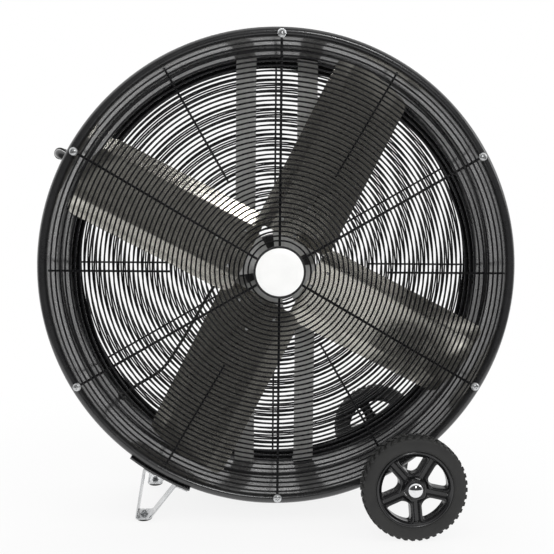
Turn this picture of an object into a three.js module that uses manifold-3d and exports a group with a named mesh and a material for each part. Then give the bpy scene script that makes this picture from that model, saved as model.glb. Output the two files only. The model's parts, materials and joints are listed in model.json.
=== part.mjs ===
// Portable 42-inch drum fan: a rolled sheet drum on two wheels and two legs, a wire guard at each
// end, four sheet blades on a spider, and a direct-drive motor carried by two vertical straps.
// Millimetres. +X right seen from the front, +Y to the back, +Z up. The origin is on the floor,
// below the middle of the drum.
import * as THREE from 'three';
import { mergeVertices } from 'three/addons/utils/BufferGeometryUtils.js';
import Module from 'manifold-3d';

const wasm = await Module();
wasm.setup();

// ---- driving dimensions ----
const fit = 0.3;                // gap between faces that touch

const wallRadius = 541;         // inside of the drum wall
const wallThickness = 1.6;
const drumLength = 290;         // front rim to back rim
const curlRadius = 12;          // rolled rims
const drumSegments = 40;
const curlSteps = 5;
const beadWidth = 40;           // stiffening bead round the middle of the wall
const beadHeight = 7;

const wireRadius = 1.9;         // guard rings
const spokeWireRadius = 2.3;
const weldDepth = 1.2;          // how far a ring sinks into the spoke that it is welded to
const ringPitch = 11.1;         // from one wire of a guard to the next
const outerRingGap = 12;        // drum wall to the last wire
const firstRingRadius = 70;     // no wire inside this, except the hub ring
const hubRingRadius = 46;
const frontRingStep = 4;        // every fourth wire is made as a solid
const backRingStep = 6;
const ringSegments = 24;
const shortSpokeStart = 255;
const longSpokeAngle = 30;      // first of six long spokes
const spokeStep = 60;
const eyeRadius = 9;            // flat eyes at the ends of the long spokes
const guardBoltInset = 5;       // bolt circle outside the drum wall
const guardBoltHead = 10.5;
const guardBoltHeight = 5;
const guardBoltShank = 3;
const guardBoltLength = 17;
const guardBoltSides = 8;
const hookDepth = 34;           // how far the back guard's hooks reach into the drum
const hookGap = 2;              // drum wall to the hooks
const badgeRadius = 61.5;
const badgeBorder = 3.5;
const badgeDepth = 4;
const badgeFloor = 2;

const bladeCount = 4;
const bladeAngle = 63.2;        // first blade, counter-clockwise from +X seen from the front
const bladeTipGap = 14;         // drum wall to the blade tips
const bladeRootRadius = 80;
const bladeHalfWidth = 103;     // projected on the fan plane
const bladeCrease = 64.5;       // crease lines each side of the middle
const bladePitch = 25;          // degrees, middle panel
const bladeBend = 12;           // degrees, at each crease
const bladeThickness = 1.6;
const bladeCorner = 25;
const bladeY = -52;             // middle of the blades along the axis
const spiderThickness = 4;
const spiderDisc = 52;
const spiderArmHalf = 20;
const spiderPadHalf = 62;       // widest part of an arm, under the blade's root
const spiderPadFrom = 88;
const spiderPadTo = 126;
const spiderReach = 180;
const spiderTipHalf = 16;

const shaftRadius = 8;
const noseRadius = 15;          // part of the hub that centres the spider
const hubRadius = 24;
const hubFlange = 42;
const hubFlangeThickness = 5;
const setScrewRadius = 3.5;
const motorRadius = 84;
const motorFront = -12;         // front of the front bell
const motorWall = 4;
const bellDepth = 16;
const bellFaceRadius = 44;
const bellEdge = 6;             // bevel between a bell's face and its side
const statorInner = 52;
const rotorGap = 0.6;
const windingSpace = 4;         // bearing seat to the stator
const bearingRadius = 20;
const bearingWidth = 12;
const seatDepth = 2;
const terminalReach = 24;       // terminal box on the motor's side
const terminalHalfHeight = 25.5;
const terminalDepth = 34;

const strapCentre = 80;
const strapWidth = 52;
const strapThickness = 3;
const strapFront = 80;          // front face of the straps along Y
const strapTab = 36;
const strapBoltShank = 4;
const strapBoltHead = 7.5;
const plateThickness = 4;
const plateHalfHeight = 62;
const plateCorner = 10;
const plateBoltInset = 16;
const studRadius = 3;
const studNut = 6;

const wheelRadius = 122;
const wheelWidth = 42;
const wheelGap = 74;            // drum rim to the inner side of each tyre
const tyreHeight = 34;
const tyreShoulder = 14;
const treadEdge = 8;
const treadDepth = 7;
const treadGroove = 5;
const wheelRimInset = 3;
const wheelRimThickness = 9;
const wheelHubRadius = 21;
const wheelSpokeCount = 5;
const wheelSpokeHalf = 15;
const wheelSpokeRidge = 5;      // width of the two ridges on each spoke
const wheelSpokeValley = 8;     // depth between them
const wheelSpokeAngle = 60;
const axleAngle = -57.6;        // where the axle lies, seen from the fan axis
const axleStandoff = 33;        // drum wall to the middle of the axle
const axleRadius = 8;
const axleCollar = 11;
const axlePlay = 0.5;           // between a wheel and its cap or collar
const hubCapRadius = 17;
const hubCapHeight = 11;
const hubCapSocket = 5;
const bracketGap = 7;           // rolled rim to each axle bracket
const bracketWidth = 36;
const bracketThickness = 3;
const bracketHalf = 44;
const bracketTip = 15;

const saddleAngle = 240;
const saddleHalfAngle = 8.2;
const saddleThickness = 5;
const saddleSteps = 6;
const legWidth = 60;
const legThickness = 3;
const legOuterTab = 1;          // degrees past the saddle's middle where the outer limb lands
const legInnerTab = 4.8;
const legTabSweep = 3;
const legFootHalf = 15;
const footOutset = 37.7;        // how far the feet stand outside the saddle's middle
const footRadius = 19;
const footHeight = 9;
const footTaper = 2;
const footBoltRadius = 4;
const footBoltDepth = 5;
const footNutRadius = 7.5;
const footNutHeight = 6;

const handleAngle = 152.3;
const handleStandoff = 45.4;    // drum wall to the middle of the grip
const handleEndGap = 2.5;       // rolled rim to the handle's ends
const handleTube = 10.5;
const handleBend = 26;
const gripRadius = 14;
const gripEndGap = 2;
const handleBoltShank = 3.5;
const handleBoltHead = 7;
const handleBoltReach = 16;     // how far the bolts go into the handle's ends

const boxAngle = 221;
const boxY = 82;
const boxWidth = 64;
const boxLength = 60;
const boxDepth = 34;
const boxWall = 4;
const knobRadius = 17;
const knobHeight = 15;
const knobSkirt = 5;
const knobGripHalf = 5;
const knobTaper = 2;
const knobStemRadius = 3;
const knobStemLength = 8;
const glandRadius = 8.5;
const glandNeckRadius = 6;
const glandLength = 20;
const leadRadius = 4;
const leadGap = 0.9;            // round the lead, in the grommet
const grommetRadius = 8;
const grommetFlange = 3;
const grommetSides = 10;

const rad = THREE.MathUtils.degToRad;
const halfDrum = drumLength / 2;
const past = 5;                 // how far a cutting tool runs past the face that it cuts

// The wheels stand on the floor, so the axle's place sets the height of the fan axis.
const wallOutside = wallRadius + wallThickness;
const axleFromAxis = wallOutside + axleStandoff;
const wheelX = axleFromAxis * Math.cos(rad(axleAngle));
const wheelZ = axleFromAxis * Math.sin(rad(axleAngle));
const wheelY = halfDrum + wheelGap + wheelWidth / 2;
const axisHeight = wheelRadius - wheelZ;

// ---- solids ----
function toSolid(geometry) {
  const bare = geometry.clone();
  for (const name of Object.keys(bare.attributes)) {
    if (name !== 'position') bare.deleteAttribute(name);
  }
  const merged = mergeVertices(bare, 1e-4);
  const vertProperties = new Float32Array(merged.attributes.position.array);
  const index = merged.index.array;
  const kept = [];
  let volume = 0;
  for (let i = 0; i < index.length; i += 3) {
    const [a, b, c] = [index[i], index[i + 1], index[i + 2]];
    if (a === b || b === c || c === a) continue;
    kept.push(a, b, c);
    const corner = (n) => new THREE.Vector3().fromArray(vertProperties, 3 * n);
    volume += corner(a).dot(corner(b).cross(corner(c)));
  }
  if (volume < 0) {
    for (let i = 0; i < kept.length; i += 3) [kept[i + 1], kept[i + 2]] = [kept[i + 2], kept[i + 1]];
  }
  return new wasm.Manifold(new wasm.Mesh({ numProp: 3, vertProperties, triVerts: new Uint32Array(kept) }));
}

function toGeometry(solid) {
  const mesh = solid.getMesh();
  const geometry = new THREE.BufferGeometry();
  geometry.setAttribute('position', new THREE.BufferAttribute(new Float32Array(mesh.vertProperties), 3));
  geometry.setIndex(new THREE.BufferAttribute(new Uint32Array(mesh.triVerts), 1));
  geometry.computeVertexNormals();
  return geometry;
}

const join = (...solids) => solids.reduce((all, next) => all.add(next));
const cut = (solid, ...tools) => tools.reduce((left, tool) => left.subtract(tool), solid);

function moved(solid, { turnX = 0, turnY = 0, turnZ = 0, x = 0, y = 0, z = 0 }) {
  const matrix = new THREE.Matrix4().makeRotationFromEuler(
    new THREE.Euler(rad(turnX), rad(turnY), rad(turnZ), 'XYZ'));
  matrix.setPosition(x, y, z);
  return toSolid(toGeometry(solid).applyMatrix4(matrix));
}

// A counter-clockwise turn about the fan axis, seen from the front.
const turned = (solid, degrees) => moved(solid, { turnY: -degrees });

// A profile of [radius, y] points revolved round the Y axis; it closes on itself.
function revolve(profile, segments) {
  const points = [...profile, profile[0]].map(([r, y]) => new THREE.Vector2(Math.max(r, 0), y));
  return toSolid(new THREE.LatheGeometry(points, segments));
}

function disc(radius, y0, y1, segments, bore = 0) {
  return revolve([[bore, y0], [radius, y0], [radius, y1], [bore, y1]], segments);
}

function arc(centreA, centreB, radius, from, to, steps) {
  const points = [];
  for (let i = 0; i <= steps; i += 1) {
    const angle = rad(from + (to - from) * i / steps);
    points.push([centreA + radius * Math.cos(angle), centreB + radius * Math.sin(angle)]);
  }
  return points;
}

function shapeOf(points) {
  return new THREE.Shape(points.map(([a, b]) => new THREE.Vector2(a, b)));
}

// An outline in X and Z, extruded from y0 to y1.
function slabY(points, y0, y1) {
  const geometry = new THREE.ExtrudeGeometry(shapeOf(points), { depth: y1 - y0, bevelEnabled: false });
  geometry.rotateX(Math.PI / 2);
  return toSolid(geometry.translate(0, y1, 0));
}

// An outline in Z and Y, extruded from x0 to x1.
function slabX(points, x0, x1) {
  const geometry = new THREE.ExtrudeGeometry(shapeOf(points), { depth: x1 - x0, bevelEnabled: false });
  const turn = new THREE.Matrix4().makeBasis(
    new THREE.Vector3(0, 0, 1), new THREE.Vector3(0, 1, 0), new THREE.Vector3(1, 0, 0));
  return toSolid(geometry.applyMatrix4(turn).translate(x0, 0, 0));
}

function block(x0, x1, y0, y1, z0, z1) {
  const geometry = new THREE.BoxGeometry(x1 - x0, y1 - y0, z1 - z0);
  return toSolid(geometry.translate((x0 + x1) / 2, (y0 + y1) / 2, (z0 + z1) / 2));
}

// A bar of round or many-sided section between two points.
function bar(start, end, radius, sides, endRadius = radius) {
  const from = new THREE.Vector3(...start);
  const to = new THREE.Vector3(...end);
  const along = to.clone().sub(from);
  const geometry = new THREE.CylinderGeometry(endRadius, radius, along.length(), sides);
  const upright = new THREE.Vector3(0, 1, 0);
  const turn = new THREE.Quaternion().setFromUnitVectors(upright, along.clone().normalize());
  geometry.applyQuaternion(turn);
  return toSolid(geometry.translate(...from.add(to).multiplyScalar(0.5).toArray()));
}

// A tube along straight runs joined by rounded corners.
function bentBar(points, radius, sides, corner, steps) {
  const corners = points.map((point) => new THREE.Vector3(...point));
  const path = new THREE.CurvePath();
  let last = corners[0];
  for (let i = 1; i < corners.length - 1; i += 1) {
    const before = corners[i].clone().lerp(corners[i - 1], corner / corners[i].distanceTo(corners[i - 1]));
    const after = corners[i].clone().lerp(corners[i + 1], corner / corners[i].distanceTo(corners[i + 1]));
    path.add(new THREE.LineCurve3(last, before));
    path.add(new THREE.QuadraticBezierCurve3(before, corners[i], after));
    last = after;
  }
  path.add(new THREE.LineCurve3(last, corners.at(-1)));
  return sweep(path, radius, sides, steps);
}

function sweep(path, radius, sides, steps) {
  const section = shapeOf(arc(0, 0, radius, 0, 360 - 360 / sides, sides - 1));
  return toSolid(new THREE.ExtrudeGeometry(section, { steps, extrudePath: path, bevelEnabled: false }));
}

// The outline of a sheet of even thickness whose middle follows the points.
function sheetOutline(points, thickness) {
  const side = (sign) => points.map(([a, b], i) => {
    const before = points[Math.max(i - 1, 0)];
    const after = points[Math.min(i + 1, points.length - 1)];
    const into = new THREE.Vector2(a - before[0], b - before[1]).normalize();
    const out = new THREE.Vector2(after[0] - a, after[1] - b).normalize();
    const along = into.add(out).normalize();
    const run = i === 0 || i === points.length - 1 ? 1 : along.dot(out.lengthSq() ? out : along);
    const reach = sign * thickness / 2 / run;
    return [a - along.y * reach, b + along.x * reach];
  });
  return [...side(1), ...side(-1).reverse()];
}

// A hexagon or circle of bolt, as a revolve along Y: a head on the low side and a shank behind it.
function boltSolid({ head, headHeight, shank, length, segments, dome = 0 }) {
  return revolve([
    [0, -headHeight - dome], [head * 0.55, -headHeight - dome * 0.7], [head, -headHeight * 0.55],
    [head, 0], [shank, 0], [shank, length], [0, length],
  ], segments);
}

// Puts a piece made on the Y axis onto the radial line at an angle, its +Y end pointing to the axis.
function onRadial(solid, degrees, radius, y) {
  return moved(turned(moved(solid, { turnZ: 90, x: radius }), degrees), { y });
}

const finishes = {
  blackPaint: { color: 0x16171a, roughness: 0.35, metalness: 0.2 },
  wirePaint: { color: 0x131416, roughness: 0.4, metalness: 0.2 },
  whiteFace: { color: 0xf4f4f2, roughness: 0.45, metalness: 0 },
  galvanised: { color: 0xa9a79c, roughness: 0.4, metalness: 0.85 },
  zinc: { color: 0xc4c6c8, roughness: 0.35, metalness: 0.9 },
  steel: { color: 0x8d8f92, roughness: 0.45, metalness: 0.9 },
  motorPaint: { color: 0x2a2b2d, roughness: 0.5, metalness: 0.3 },
  copper: { color: 0x8a5a38, roughness: 0.5, metalness: 0.6 },
  chrome: { color: 0xe4e5e7, roughness: 0.12, metalness: 1 },
  rubber: { color: 0x1b1b1c, roughness: 0.85, metalness: 0 },
  plastic: { color: 0x1a1b1d, roughness: 0.5, metalness: 0 },
};
for (const [name, look] of Object.entries(finishes)) {
  finishes[name] = new THREE.MeshStandardMaterial({ ...look, name });
}

const fan = new THREE.Group();
const drumGroup = new THREE.Group();
drumGroup.position.z = axisHeight;
fan.add(drumGroup);

function piece(name, solid, material, parent = drumGroup) {
  const mesh = new THREE.Mesh(toGeometry(solid), material);
  mesh.name = name;
  parent.add(mesh);
  return mesh;
}

// ---- drum ----
const rimRadius = wallRadius + 2 * curlRadius;
const curlCentre = wallRadius + curlRadius;
const curlY = halfDrum - curlRadius;

function drumProfile() {
  const outerCurl = arc(curlCentre, curlY, curlRadius, 180, -120, curlSteps);
  const innerCurl = arc(curlCentre, curlY, curlRadius - wallThickness, -120, 180, curlSteps - 2);
  const front = ([r, y]) => [r, -y];
  const bead = [
    [0, beadWidth / 2], [beadHeight, beadWidth / 5], [beadHeight, -beadWidth / 5], [0, -beadWidth / 2],
  ];
  return [
    ...outerCurl, ...innerCurl,
    ...bead.map(([h, y]) => [wallOutside + h, y]),
    ...innerCurl.map(front).reverse(), ...outerCurl.map(front).reverse(),
    ...bead.map(([h, y]) => [wallRadius + h, -y]),
  ];
}

// ---- fixings placed by angle ----
const polar = (radius, degrees, y = 0) => [
  radius * Math.cos(rad(degrees)), y, radius * Math.sin(rad(degrees)),
];
const longSpokes = Array.from({ length: 6 }, (unused, i) => longSpokeAngle + i * spokeStep);
const shortSpokes = longSpokes.map((degrees) => degrees + spokeStep / 2);

const facetRadius = wallRadius * Math.cos(Math.PI / drumSegments);
const strapTabFace = Math.sqrt(facetRadius ** 2 - (strapWidth / 2) ** 2) - fit;
const strapTilt = THREE.MathUtils.radToDeg(Math.asin(strapCentre / wallRadius));
const strapEnds = [90 - strapTilt, 90 + strapTilt, 270 - strapTilt, 270 + strapTilt];
const strapBoltY = strapFront + strapTab * 0.55;
const handleHalfLength = halfDrum - 2 * curlRadius - handleTube - handleEndGap;
const guardBoltRadius = wallRadius + guardBoltInset;
const hookY = halfDrum - hookDepth;

let drum = revolve(drumProfile(), drumSegments);
const radialHole = (radius, degrees, y, sides = 6) => turned(
  bar([wallRadius - 4 * past, y, 0], [rimRadius + past, y, 0], radius, sides), degrees);
for (const degrees of longSpokes) {
  const [x, , z] = polar(guardBoltRadius, degrees);
  const hole = bar([x, -halfDrum - past, z], [x, -curlY + past, z], guardBoltShank + fit, guardBoltSides);
  drum = cut(drum, hole);
  drum = cut(drum, radialHole(spokeWireRadius + 2 * fit, degrees, hookY));
}
for (const degrees of strapEnds) drum = cut(drum, radialHole(strapBoltShank + fit, degrees, strapBoltY));
for (const side of [-1, 1]) {
  drum = cut(drum, radialHole(handleBoltShank + fit, handleAngle, side * handleHalfLength));
}
drum = cut(drum, radialHole(grommetRadius + fit, boxAngle, boxY, grommetSides));
piece('drum_shell', drum, finishes.blackPaint);

// What stands on the outside of the wall is trimmed to the wall's own facets, a fit away.
const standRadius = wallOutside * Math.cos(Math.PI / drumSegments) - 1;
const onWall = (solid) => cut(solid, disc(wallOutside + fit, -halfDrum, halfDrum, drumSegments));

// ---- wire guards ----
const spokeY = halfDrum + fit + spokeWireRadius;
const passDepth = weldDepth + fit;
const ringFoot = spokeY + passDepth + spokeWireRadius - weldDepth;
const ringTop = ringFoot + wireRadius * 1.8;
const lastRingRadius = wallRadius - outerRingGap;
const ringCount = 1 + Math.floor((lastRingRadius - firstRingRadius) / ringPitch);

// The hub ring and the last ring are welded to every spoke, the others to every second long spoke.
function guardRing(radius, face, foot = ringFoot) {
  const segments = radius < ringSegments * 5 ? ringSegments / 2 : ringSegments;
  const ring = revolve([[radius - wireRadius, face * ringTop], [radius + wireRadius, face * ringTop],
    [radius, face * foot]], segments);
  return turned(ring, 180 / segments);
}

function guardRings(face, step) {
  const passFoot = ringFoot - passDepth;
  const rings = [hubRingRadius, lastRingRadius].map((radius) => guardRing(radius, face, passFoot));
  for (let i = step; i < ringCount; i += step) rings.push(guardRing(lastRingRadius - i * ringPitch, face));
  return join(...rings);
}

function guardSpoke(from, to, degrees, y) {
  return turned(bar([from, y, 0], [to, y, 0], spokeWireRadius, 4), degrees);
}

function frontGuard() {
  let guard = guardRings(-1, frontRingStep);
  longSpokes.forEach((degrees, i) => {
    const [x, , z] = polar(guardBoltRadius, degrees);
    const flat = disc(eyeRadius, -passDepth - spokeWireRadius, spokeWireRadius, 6);
    const eye = moved(flat, { x, y: -spokeY, z });
    const y = -spokeY - (i % 2 ? 0 : passDepth);
    guard = join(guard, guardSpoke(hubRingRadius - 2, guardBoltRadius, degrees, y), eye);
    guard = cut(guard, bar([x, -spokeY - 2 * past, z], [x, -spokeY + past, z], guardBoltShank + fit,
      guardBoltSides));
  });
  for (const degrees of shortSpokes) {
    guard = join(guard, guardSpoke(shortSpokeStart, lastRingRadius + outerRingGap / 2, degrees, -spokeY));
  }
  return guard;
}

function backGuard() {
  let guard = guardRings(1, backRingStep);
  const bendRadius = wallRadius - spokeWireRadius * 2 - hookGap;
  const corner = spokeWireRadius * 0.7;
  longSpokes.forEach((degrees, i) => {
    const y = spokeY + (i % 2 ? 0 : passDepth);
    const hook = join(
      bar([hubRingRadius - 2, y, 0], [bendRadius + corner, y, 0], spokeWireRadius, 4),
      bar([bendRadius, y + corner, 0], [bendRadius, hookY - corner, 0], spokeWireRadius, 4),
      bar([bendRadius - corner, hookY, 0], [wallOutside + 3 * spokeWireRadius, hookY, 0], spokeWireRadius, 4),
    );
    guard = join(guard, turned(hook, degrees));
  });
  for (const degrees of shortSpokes) {
    guard = join(guard, guardSpoke(shortSpokeStart, lastRingRadius + outerRingGap / 2, degrees, spokeY));
  }
  return guard;
}
piece('front_guard', frontGuard(), finishes.wirePaint);
piece('back_guard', backGuard(), finishes.wirePaint);

const eyeFront = -spokeY - passDepth - spokeWireRadius;
longSpokes.forEach((degrees, i) => {
  const [x, , z] = polar(guardBoltRadius, degrees);
  const bolt = boltSolid({ head: guardBoltHead, headHeight: guardBoltHeight, shank: guardBoltShank,
    length: guardBoltLength, segments: guardBoltSides, dome: 2 });
  piece(`guard_bolt_${i + 1}`, moved(bolt, { x, y: eyeFront - fit, z }), finishes.zinc);
});

const badgeY = -ringTop - fit;
const badgeFaceRadius = badgeRadius - badgeBorder;
const badgeSegments = 28;
const badgeTray = revolve([
  [0, badgeY], [badgeRadius, badgeY], [badgeRadius, badgeY - badgeDepth],
  [badgeFaceRadius + fit, badgeY - badgeDepth],
  [badgeFaceRadius + fit, badgeY - badgeFloor], [0, badgeY - badgeFloor],
], badgeSegments);
piece('badge_plate', badgeTray, finishes.blackPaint);
const badgeFace = revolve([
  [0, badgeY - badgeFloor - fit], [badgeFaceRadius, badgeY - badgeFloor - fit],
  [badgeFaceRadius, badgeY - badgeDepth],
  [0, badgeY - badgeDepth - 1],
], badgeSegments);
piece('badge_face', badgeFace, finishes.whiteFace);

// ---- impeller: everything is made for a blade that points to +X, then turned ----
const impeller = new THREE.Group();
drumGroup.add(impeller);
const pitchTan = Math.tan(rad(bladePitch));
const bladeTipRadius = wallRadius - bladeTipGap;
const panelY = (across) => bladeY - across * pitchTan;

function bladeSection() {
  const flange = bladeHalfWidth + 1 - bladeCrease;
  const points = [
    [-bladeHalfWidth - 1, panelY(-bladeCrease) + flange * Math.tan(rad(bladePitch - bladeBend))],
    [-bladeCrease, panelY(-bladeCrease)], [bladeCrease, panelY(bladeCrease)],
    [bladeHalfWidth + 1, panelY(bladeCrease) - flange * Math.tan(rad(bladePitch + bladeBend))],
  ];
  return sheetOutline(points, bladeThickness);
}

// Seen from the front: straight sides, a tip on the circle of the drum, all corners rounded.
function bladeOutline() {
  const inset = bladeHalfWidth - bladeCorner;
  const tipCentre = Math.sqrt((bladeTipRadius - bladeCorner) ** 2 - inset ** 2);
  const tipTurn = THREE.MathUtils.radToDeg(Math.asin(inset / (bladeTipRadius - bladeCorner)));
  const root = bladeRootRadius + bladeCorner;
  return [
    ...arc(root, -inset, bladeCorner, 180, 270, 4),
    ...arc(tipCentre, -inset, bladeCorner, 270, 360 - tipTurn, 4),
    ...arc(0, 0, bladeTipRadius, -tipTurn, tipTurn, 6).slice(1, -1),
    ...arc(tipCentre, inset, bladeCorner, tipTurn, 90, 4),
    ...arc(root, inset, bladeCorner, 90, 180, 4),
  ];
}

const blade = slabX(bladeSection(), bladeRootRadius - past, bladeTipRadius + past)
  .intersect(slabY(bladeOutline(), bladeY - bladeHalfWidth, bladeY + bladeHalfWidth));
const bladeAngles = Array.from({ length: bladeCount }, (unused, i) => bladeAngle + i * 360 / bladeCount);
bladeAngles.forEach((degrees, i) => {
  piece(`blade_${i + 1}`, turned(blade, degrees), finishes.galvanised, impeller);
});

const spiderY = bladeY + (bladeThickness / 2 + fit + spiderThickness / 2) / Math.cos(rad(bladePitch));

function spiderArm() {
  const root = spiderDisc / 2;
  const side = [[root, spiderArmHalf], [spiderPadFrom, spiderPadHalf], [spiderPadTo, spiderPadHalf],
    [spiderReach, spiderTipHalf]];
  const pad = [...side.map(([x, z]) => [x, -z]), ...side.reverse()];
  const wide = spiderPadHalf + past;
  const plate = sheetOutline([[-wide, panelY(-wide)], [wide, panelY(wide)]], spiderThickness);
  return moved(slabX(plate, root - past, spiderReach + past), { y: spiderY - bladeY })
    .intersect(slabY(pad, bladeY - wide, bladeY + wide));
}
const boreGap = shaftRadius + fit;
const shaftSegments = 16;
const motorSegments = 20;
const spiderHalf = spiderThickness / 2;
let spider = disc(spiderDisc, spiderY - spiderHalf, spiderY + spiderHalf, 24, noseRadius + fit);
for (const degrees of bladeAngles) spider = join(spider, turned(spiderArm(), degrees));
spider = cut(spider, disc(noseRadius + fit, spiderY - spiderDisc, spiderY + spiderDisc, 24));
spider = cut(spider, disc(hubFlange + fit, spiderY + spiderThickness / 2, spiderY + spiderDisc, 24));
piece('blade_spider', spider, finishes.steel, impeller);

const flangeFace = spiderY + spiderThickness / 2 + fit;
const noseFront = flangeFace - spiderThickness - 2;
const hubEnd = motorFront - fit;
let hub = revolve([
  [boreGap, noseFront], [noseRadius, noseFront], [noseRadius, flangeFace], [hubFlange, flangeFace],
  [hubFlange, flangeFace + hubFlangeThickness], [hubRadius, flangeFace + hubFlangeThickness + 3],
  [hubRadius, hubEnd], [boreGap, hubEnd],
], shaftSegments);
const screwY = hubEnd - setScrewRadius * 3;
hub = cut(hub, bar([0, screwY, 0], [0, screwY, hubRadius + past], setScrewRadius + fit, 6));
piece('hub', hub, finishes.steel, impeller);
const setScrew = bar([0, screwY, shaftRadius + fit], [0, screwY, hubRadius + 1.5], setScrewRadius, 6);
piece('hub_set_screw', setScrew, finishes.zinc, impeller);

// ---- motor, on its plate between the straps ----
const plateBack = strapFront - fit;
const plateFront = plateBack - plateThickness;
const motorBack = plateFront - fit;
const shellFront = motorFront + bellDepth + fit;
const shellBack = motorBack - bellDepth - fit;
const shellInner = motorRadius - motorWall;
const shaftFront = noseFront - shaftRadius;
const rotorRadius = statorInner - rotorGap;

const shell = disc(motorRadius, shellFront, shellBack, motorSegments, shellInner);
piece('motor_shell', shell, finishes.motorPaint);

// A bell: bevelled outside, a ring that meets the shell, and a seat for the bearing.
function bell(outside, inward) {
  const depth = (distance) => outside + inward * distance;
  const seatEnd = depth(seatDepth + bearingWidth);
  return revolve([
    [shaftRadius + seatDepth, depth(0)], [bellFaceRadius, depth(0)],
    [motorRadius - bellEdge, depth(bellEdge)],
    [motorRadius, depth(bellDepth)], [shellInner - 2 * motorWall, depth(bellDepth)],
    [shellInner - 2 * motorWall - bellEdge, seatEnd],
    [bearingRadius + fit, seatEnd], [bearingRadius + fit, depth(seatDepth)],
    [shaftRadius + seatDepth, depth(seatDepth)],
  ], motorSegments);
}
piece('motor_front_bell', bell(motorFront, 1), finishes.motorPaint);
piece('motor_back_bell', bell(motorBack, -1), finishes.motorPaint);

const bearingFrontY = motorFront + seatDepth + fit;
const bearingBackY = motorBack - seatDepth - fit;
const bearing = (y0, y1) => disc(bearingRadius, y0, y1, shaftSegments, boreGap);
const bearingLength = bearingWidth - fit;
piece('motor_front_bearing', bearing(bearingFrontY, bearingFrontY + bearingLength), finishes.zinc);
piece('motor_back_bearing', bearing(bearingBackY - bearingLength, bearingBackY), finishes.zinc);

const coreFront = bearingFrontY + bearingWidth + windingSpace;
const coreBack = bearingBackY - bearingWidth - windingSpace;
const stator = disc(shellInner - fit, coreFront, coreBack, motorSegments, statorInner);
piece('motor_stator', stator, finishes.copper);
const rotor = disc(rotorRadius, coreFront, coreBack, motorSegments, boreGap);
piece('motor_rotor', rotor, finishes.steel, impeller);
const shaftBack = bearingBackY - fit;
const shaft = bar([0, shaftFront, 0], [0, shaftBack, 0], shaftRadius, shaftSegments);
piece('motor_shaft', shaft, finishes.zinc, impeller);

const terminalX = -motorRadius - fit - terminalReach;
const terminalY = shellFront + 2;
let terminalBox = block(terminalX, -motorRadius + 2 * motorWall, terminalY, terminalY + terminalDepth,
  -terminalHalfHeight, terminalHalfHeight);
terminalBox = cut(terminalBox, disc(motorRadius + fit, terminalY - past, terminalY + terminalDepth + past,
  motorSegments));
piece('motor_terminal_box', terminalBox, finishes.motorPaint);

const strapOuter = strapCentre + strapWidth / 2;
const plateBoltZ = plateHalfHeight - plateBoltInset;
const notched = plateHalfHeight - plateCorner;
let plate = slabY([
  [-strapOuter, -notched], [-strapOuter + plateCorner, -plateHalfHeight],
  [strapOuter - plateCorner, -plateHalfHeight], [strapOuter, -notched],
  [strapOuter, notched], [strapOuter - plateCorner, plateHalfHeight],
  [-strapOuter + plateCorner, plateHalfHeight], [-strapOuter, notched],
], plateFront, plateBack);
plate = cut(plate, disc(bearingRadius, plateFront - past, plateBack + past, 12));
for (const x of [-strapCentre, strapCentre]) {
  for (const z of [-plateBoltZ, plateBoltZ]) {
    plate = cut(plate, bar([x, plateFront - past, z], [x, plateBack + past, z], studRadius + fit, 6));
  }
}
piece('motor_plate', plate, finishes.steel);

// A strap: a flat bar from wall to wall, each end bent back into a tab that is bolted to the wall.
// The studs and nuts that hold the motor plate are part of it.
function strap(side) {
  const x = side * strapCentre;
  const top = Math.sqrt((strapTabFace + fit) ** 2 - strapOuter ** 2) - strapThickness;
  const tabInner = strapTabFace - strapThickness;
  const [left, right] = [x - strapWidth / 2, x + strapWidth / 2];
  let solid = block(left, right, strapFront, strapFront + strapThickness, -top, top);
  for (const degrees of [90 - side * strapTilt, 270 + side * strapTilt]) {
    const tab = block(tabInner - past, strapTabFace, strapFront, strapFront + strapTab,
      -strapWidth / 2, strapWidth / 2);
    const clear = block(tabInner - 2 * past, tabInner, strapFront + strapThickness,
      strapFront + strapTab + past, -strapWidth, strapWidth);
    solid = join(solid, turned(cut(tab, clear), degrees));
    solid = cut(solid, radialHole(strapBoltShank + fit, degrees, strapBoltY));
  }
  for (const z of [-plateBoltZ, plateBoltZ]) {
    solid = join(solid, bar([x, plateFront - studNut - 1, z], [x, strapFront + 1, z], studRadius, 6));
    solid = join(solid, bar([x, plateFront - studNut, z], [x, plateFront - fit, z], studNut, 6));
  }
  return solid;
}
piece('motor_strap_left', strap(-1), finishes.steel);
piece('motor_strap_right', strap(1), finishes.steel);

strapEnds.forEach((degrees, i) => {
  const bolt = boltSolid({ head: strapBoltHead, headHeight: strapBoltShank + 1, shank: strapBoltShank,
    length: wallOutside - strapTabFace + strapThickness + fit + strapBoltHead, segments: 6 });
  piece(`strap_bolt_${i + 1}`, onRadial(bolt, degrees, wallOutside + fit, strapBoltY), finishes.zinc);
});

// ---- wheels on one axle ----
const rimBack = wheelWidth / 2 - wheelRimInset;
const wheelRimRadius = wheelRadius - tyreHeight;
const tyreSegments = 24;
const axleSegments = 12;

// Wheels are made on the Y axis with their outer side towards -Y.
function tyreSolid() {
  const half = wheelWidth / 2;
  const bead = wheelRimRadius + fit;
  const shoulder = wheelRadius - tyreShoulder;
  let tyre = revolve([
    [bead, -half + treadEdge / 2], [shoulder, -half], [wheelRadius, -half + treadEdge],
    [wheelRadius, half - treadEdge], [shoulder, half], [bead, half - treadEdge / 2],
  ], tyreSegments);
  for (let i = 0; i < tyreSegments; i += 1) {
    const from = i % 2 ? wheelRimInset : -half - 2;
    const groove = block(wheelRadius - treadDepth, wheelRadius + past, from, from + half - 1,
      -treadGroove / 2, treadGroove / 2);
    tyre = cut(tyre, turned(groove, (i + 0.5) * 360 / tyreSegments));
  }
  return tyre;
}

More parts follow.
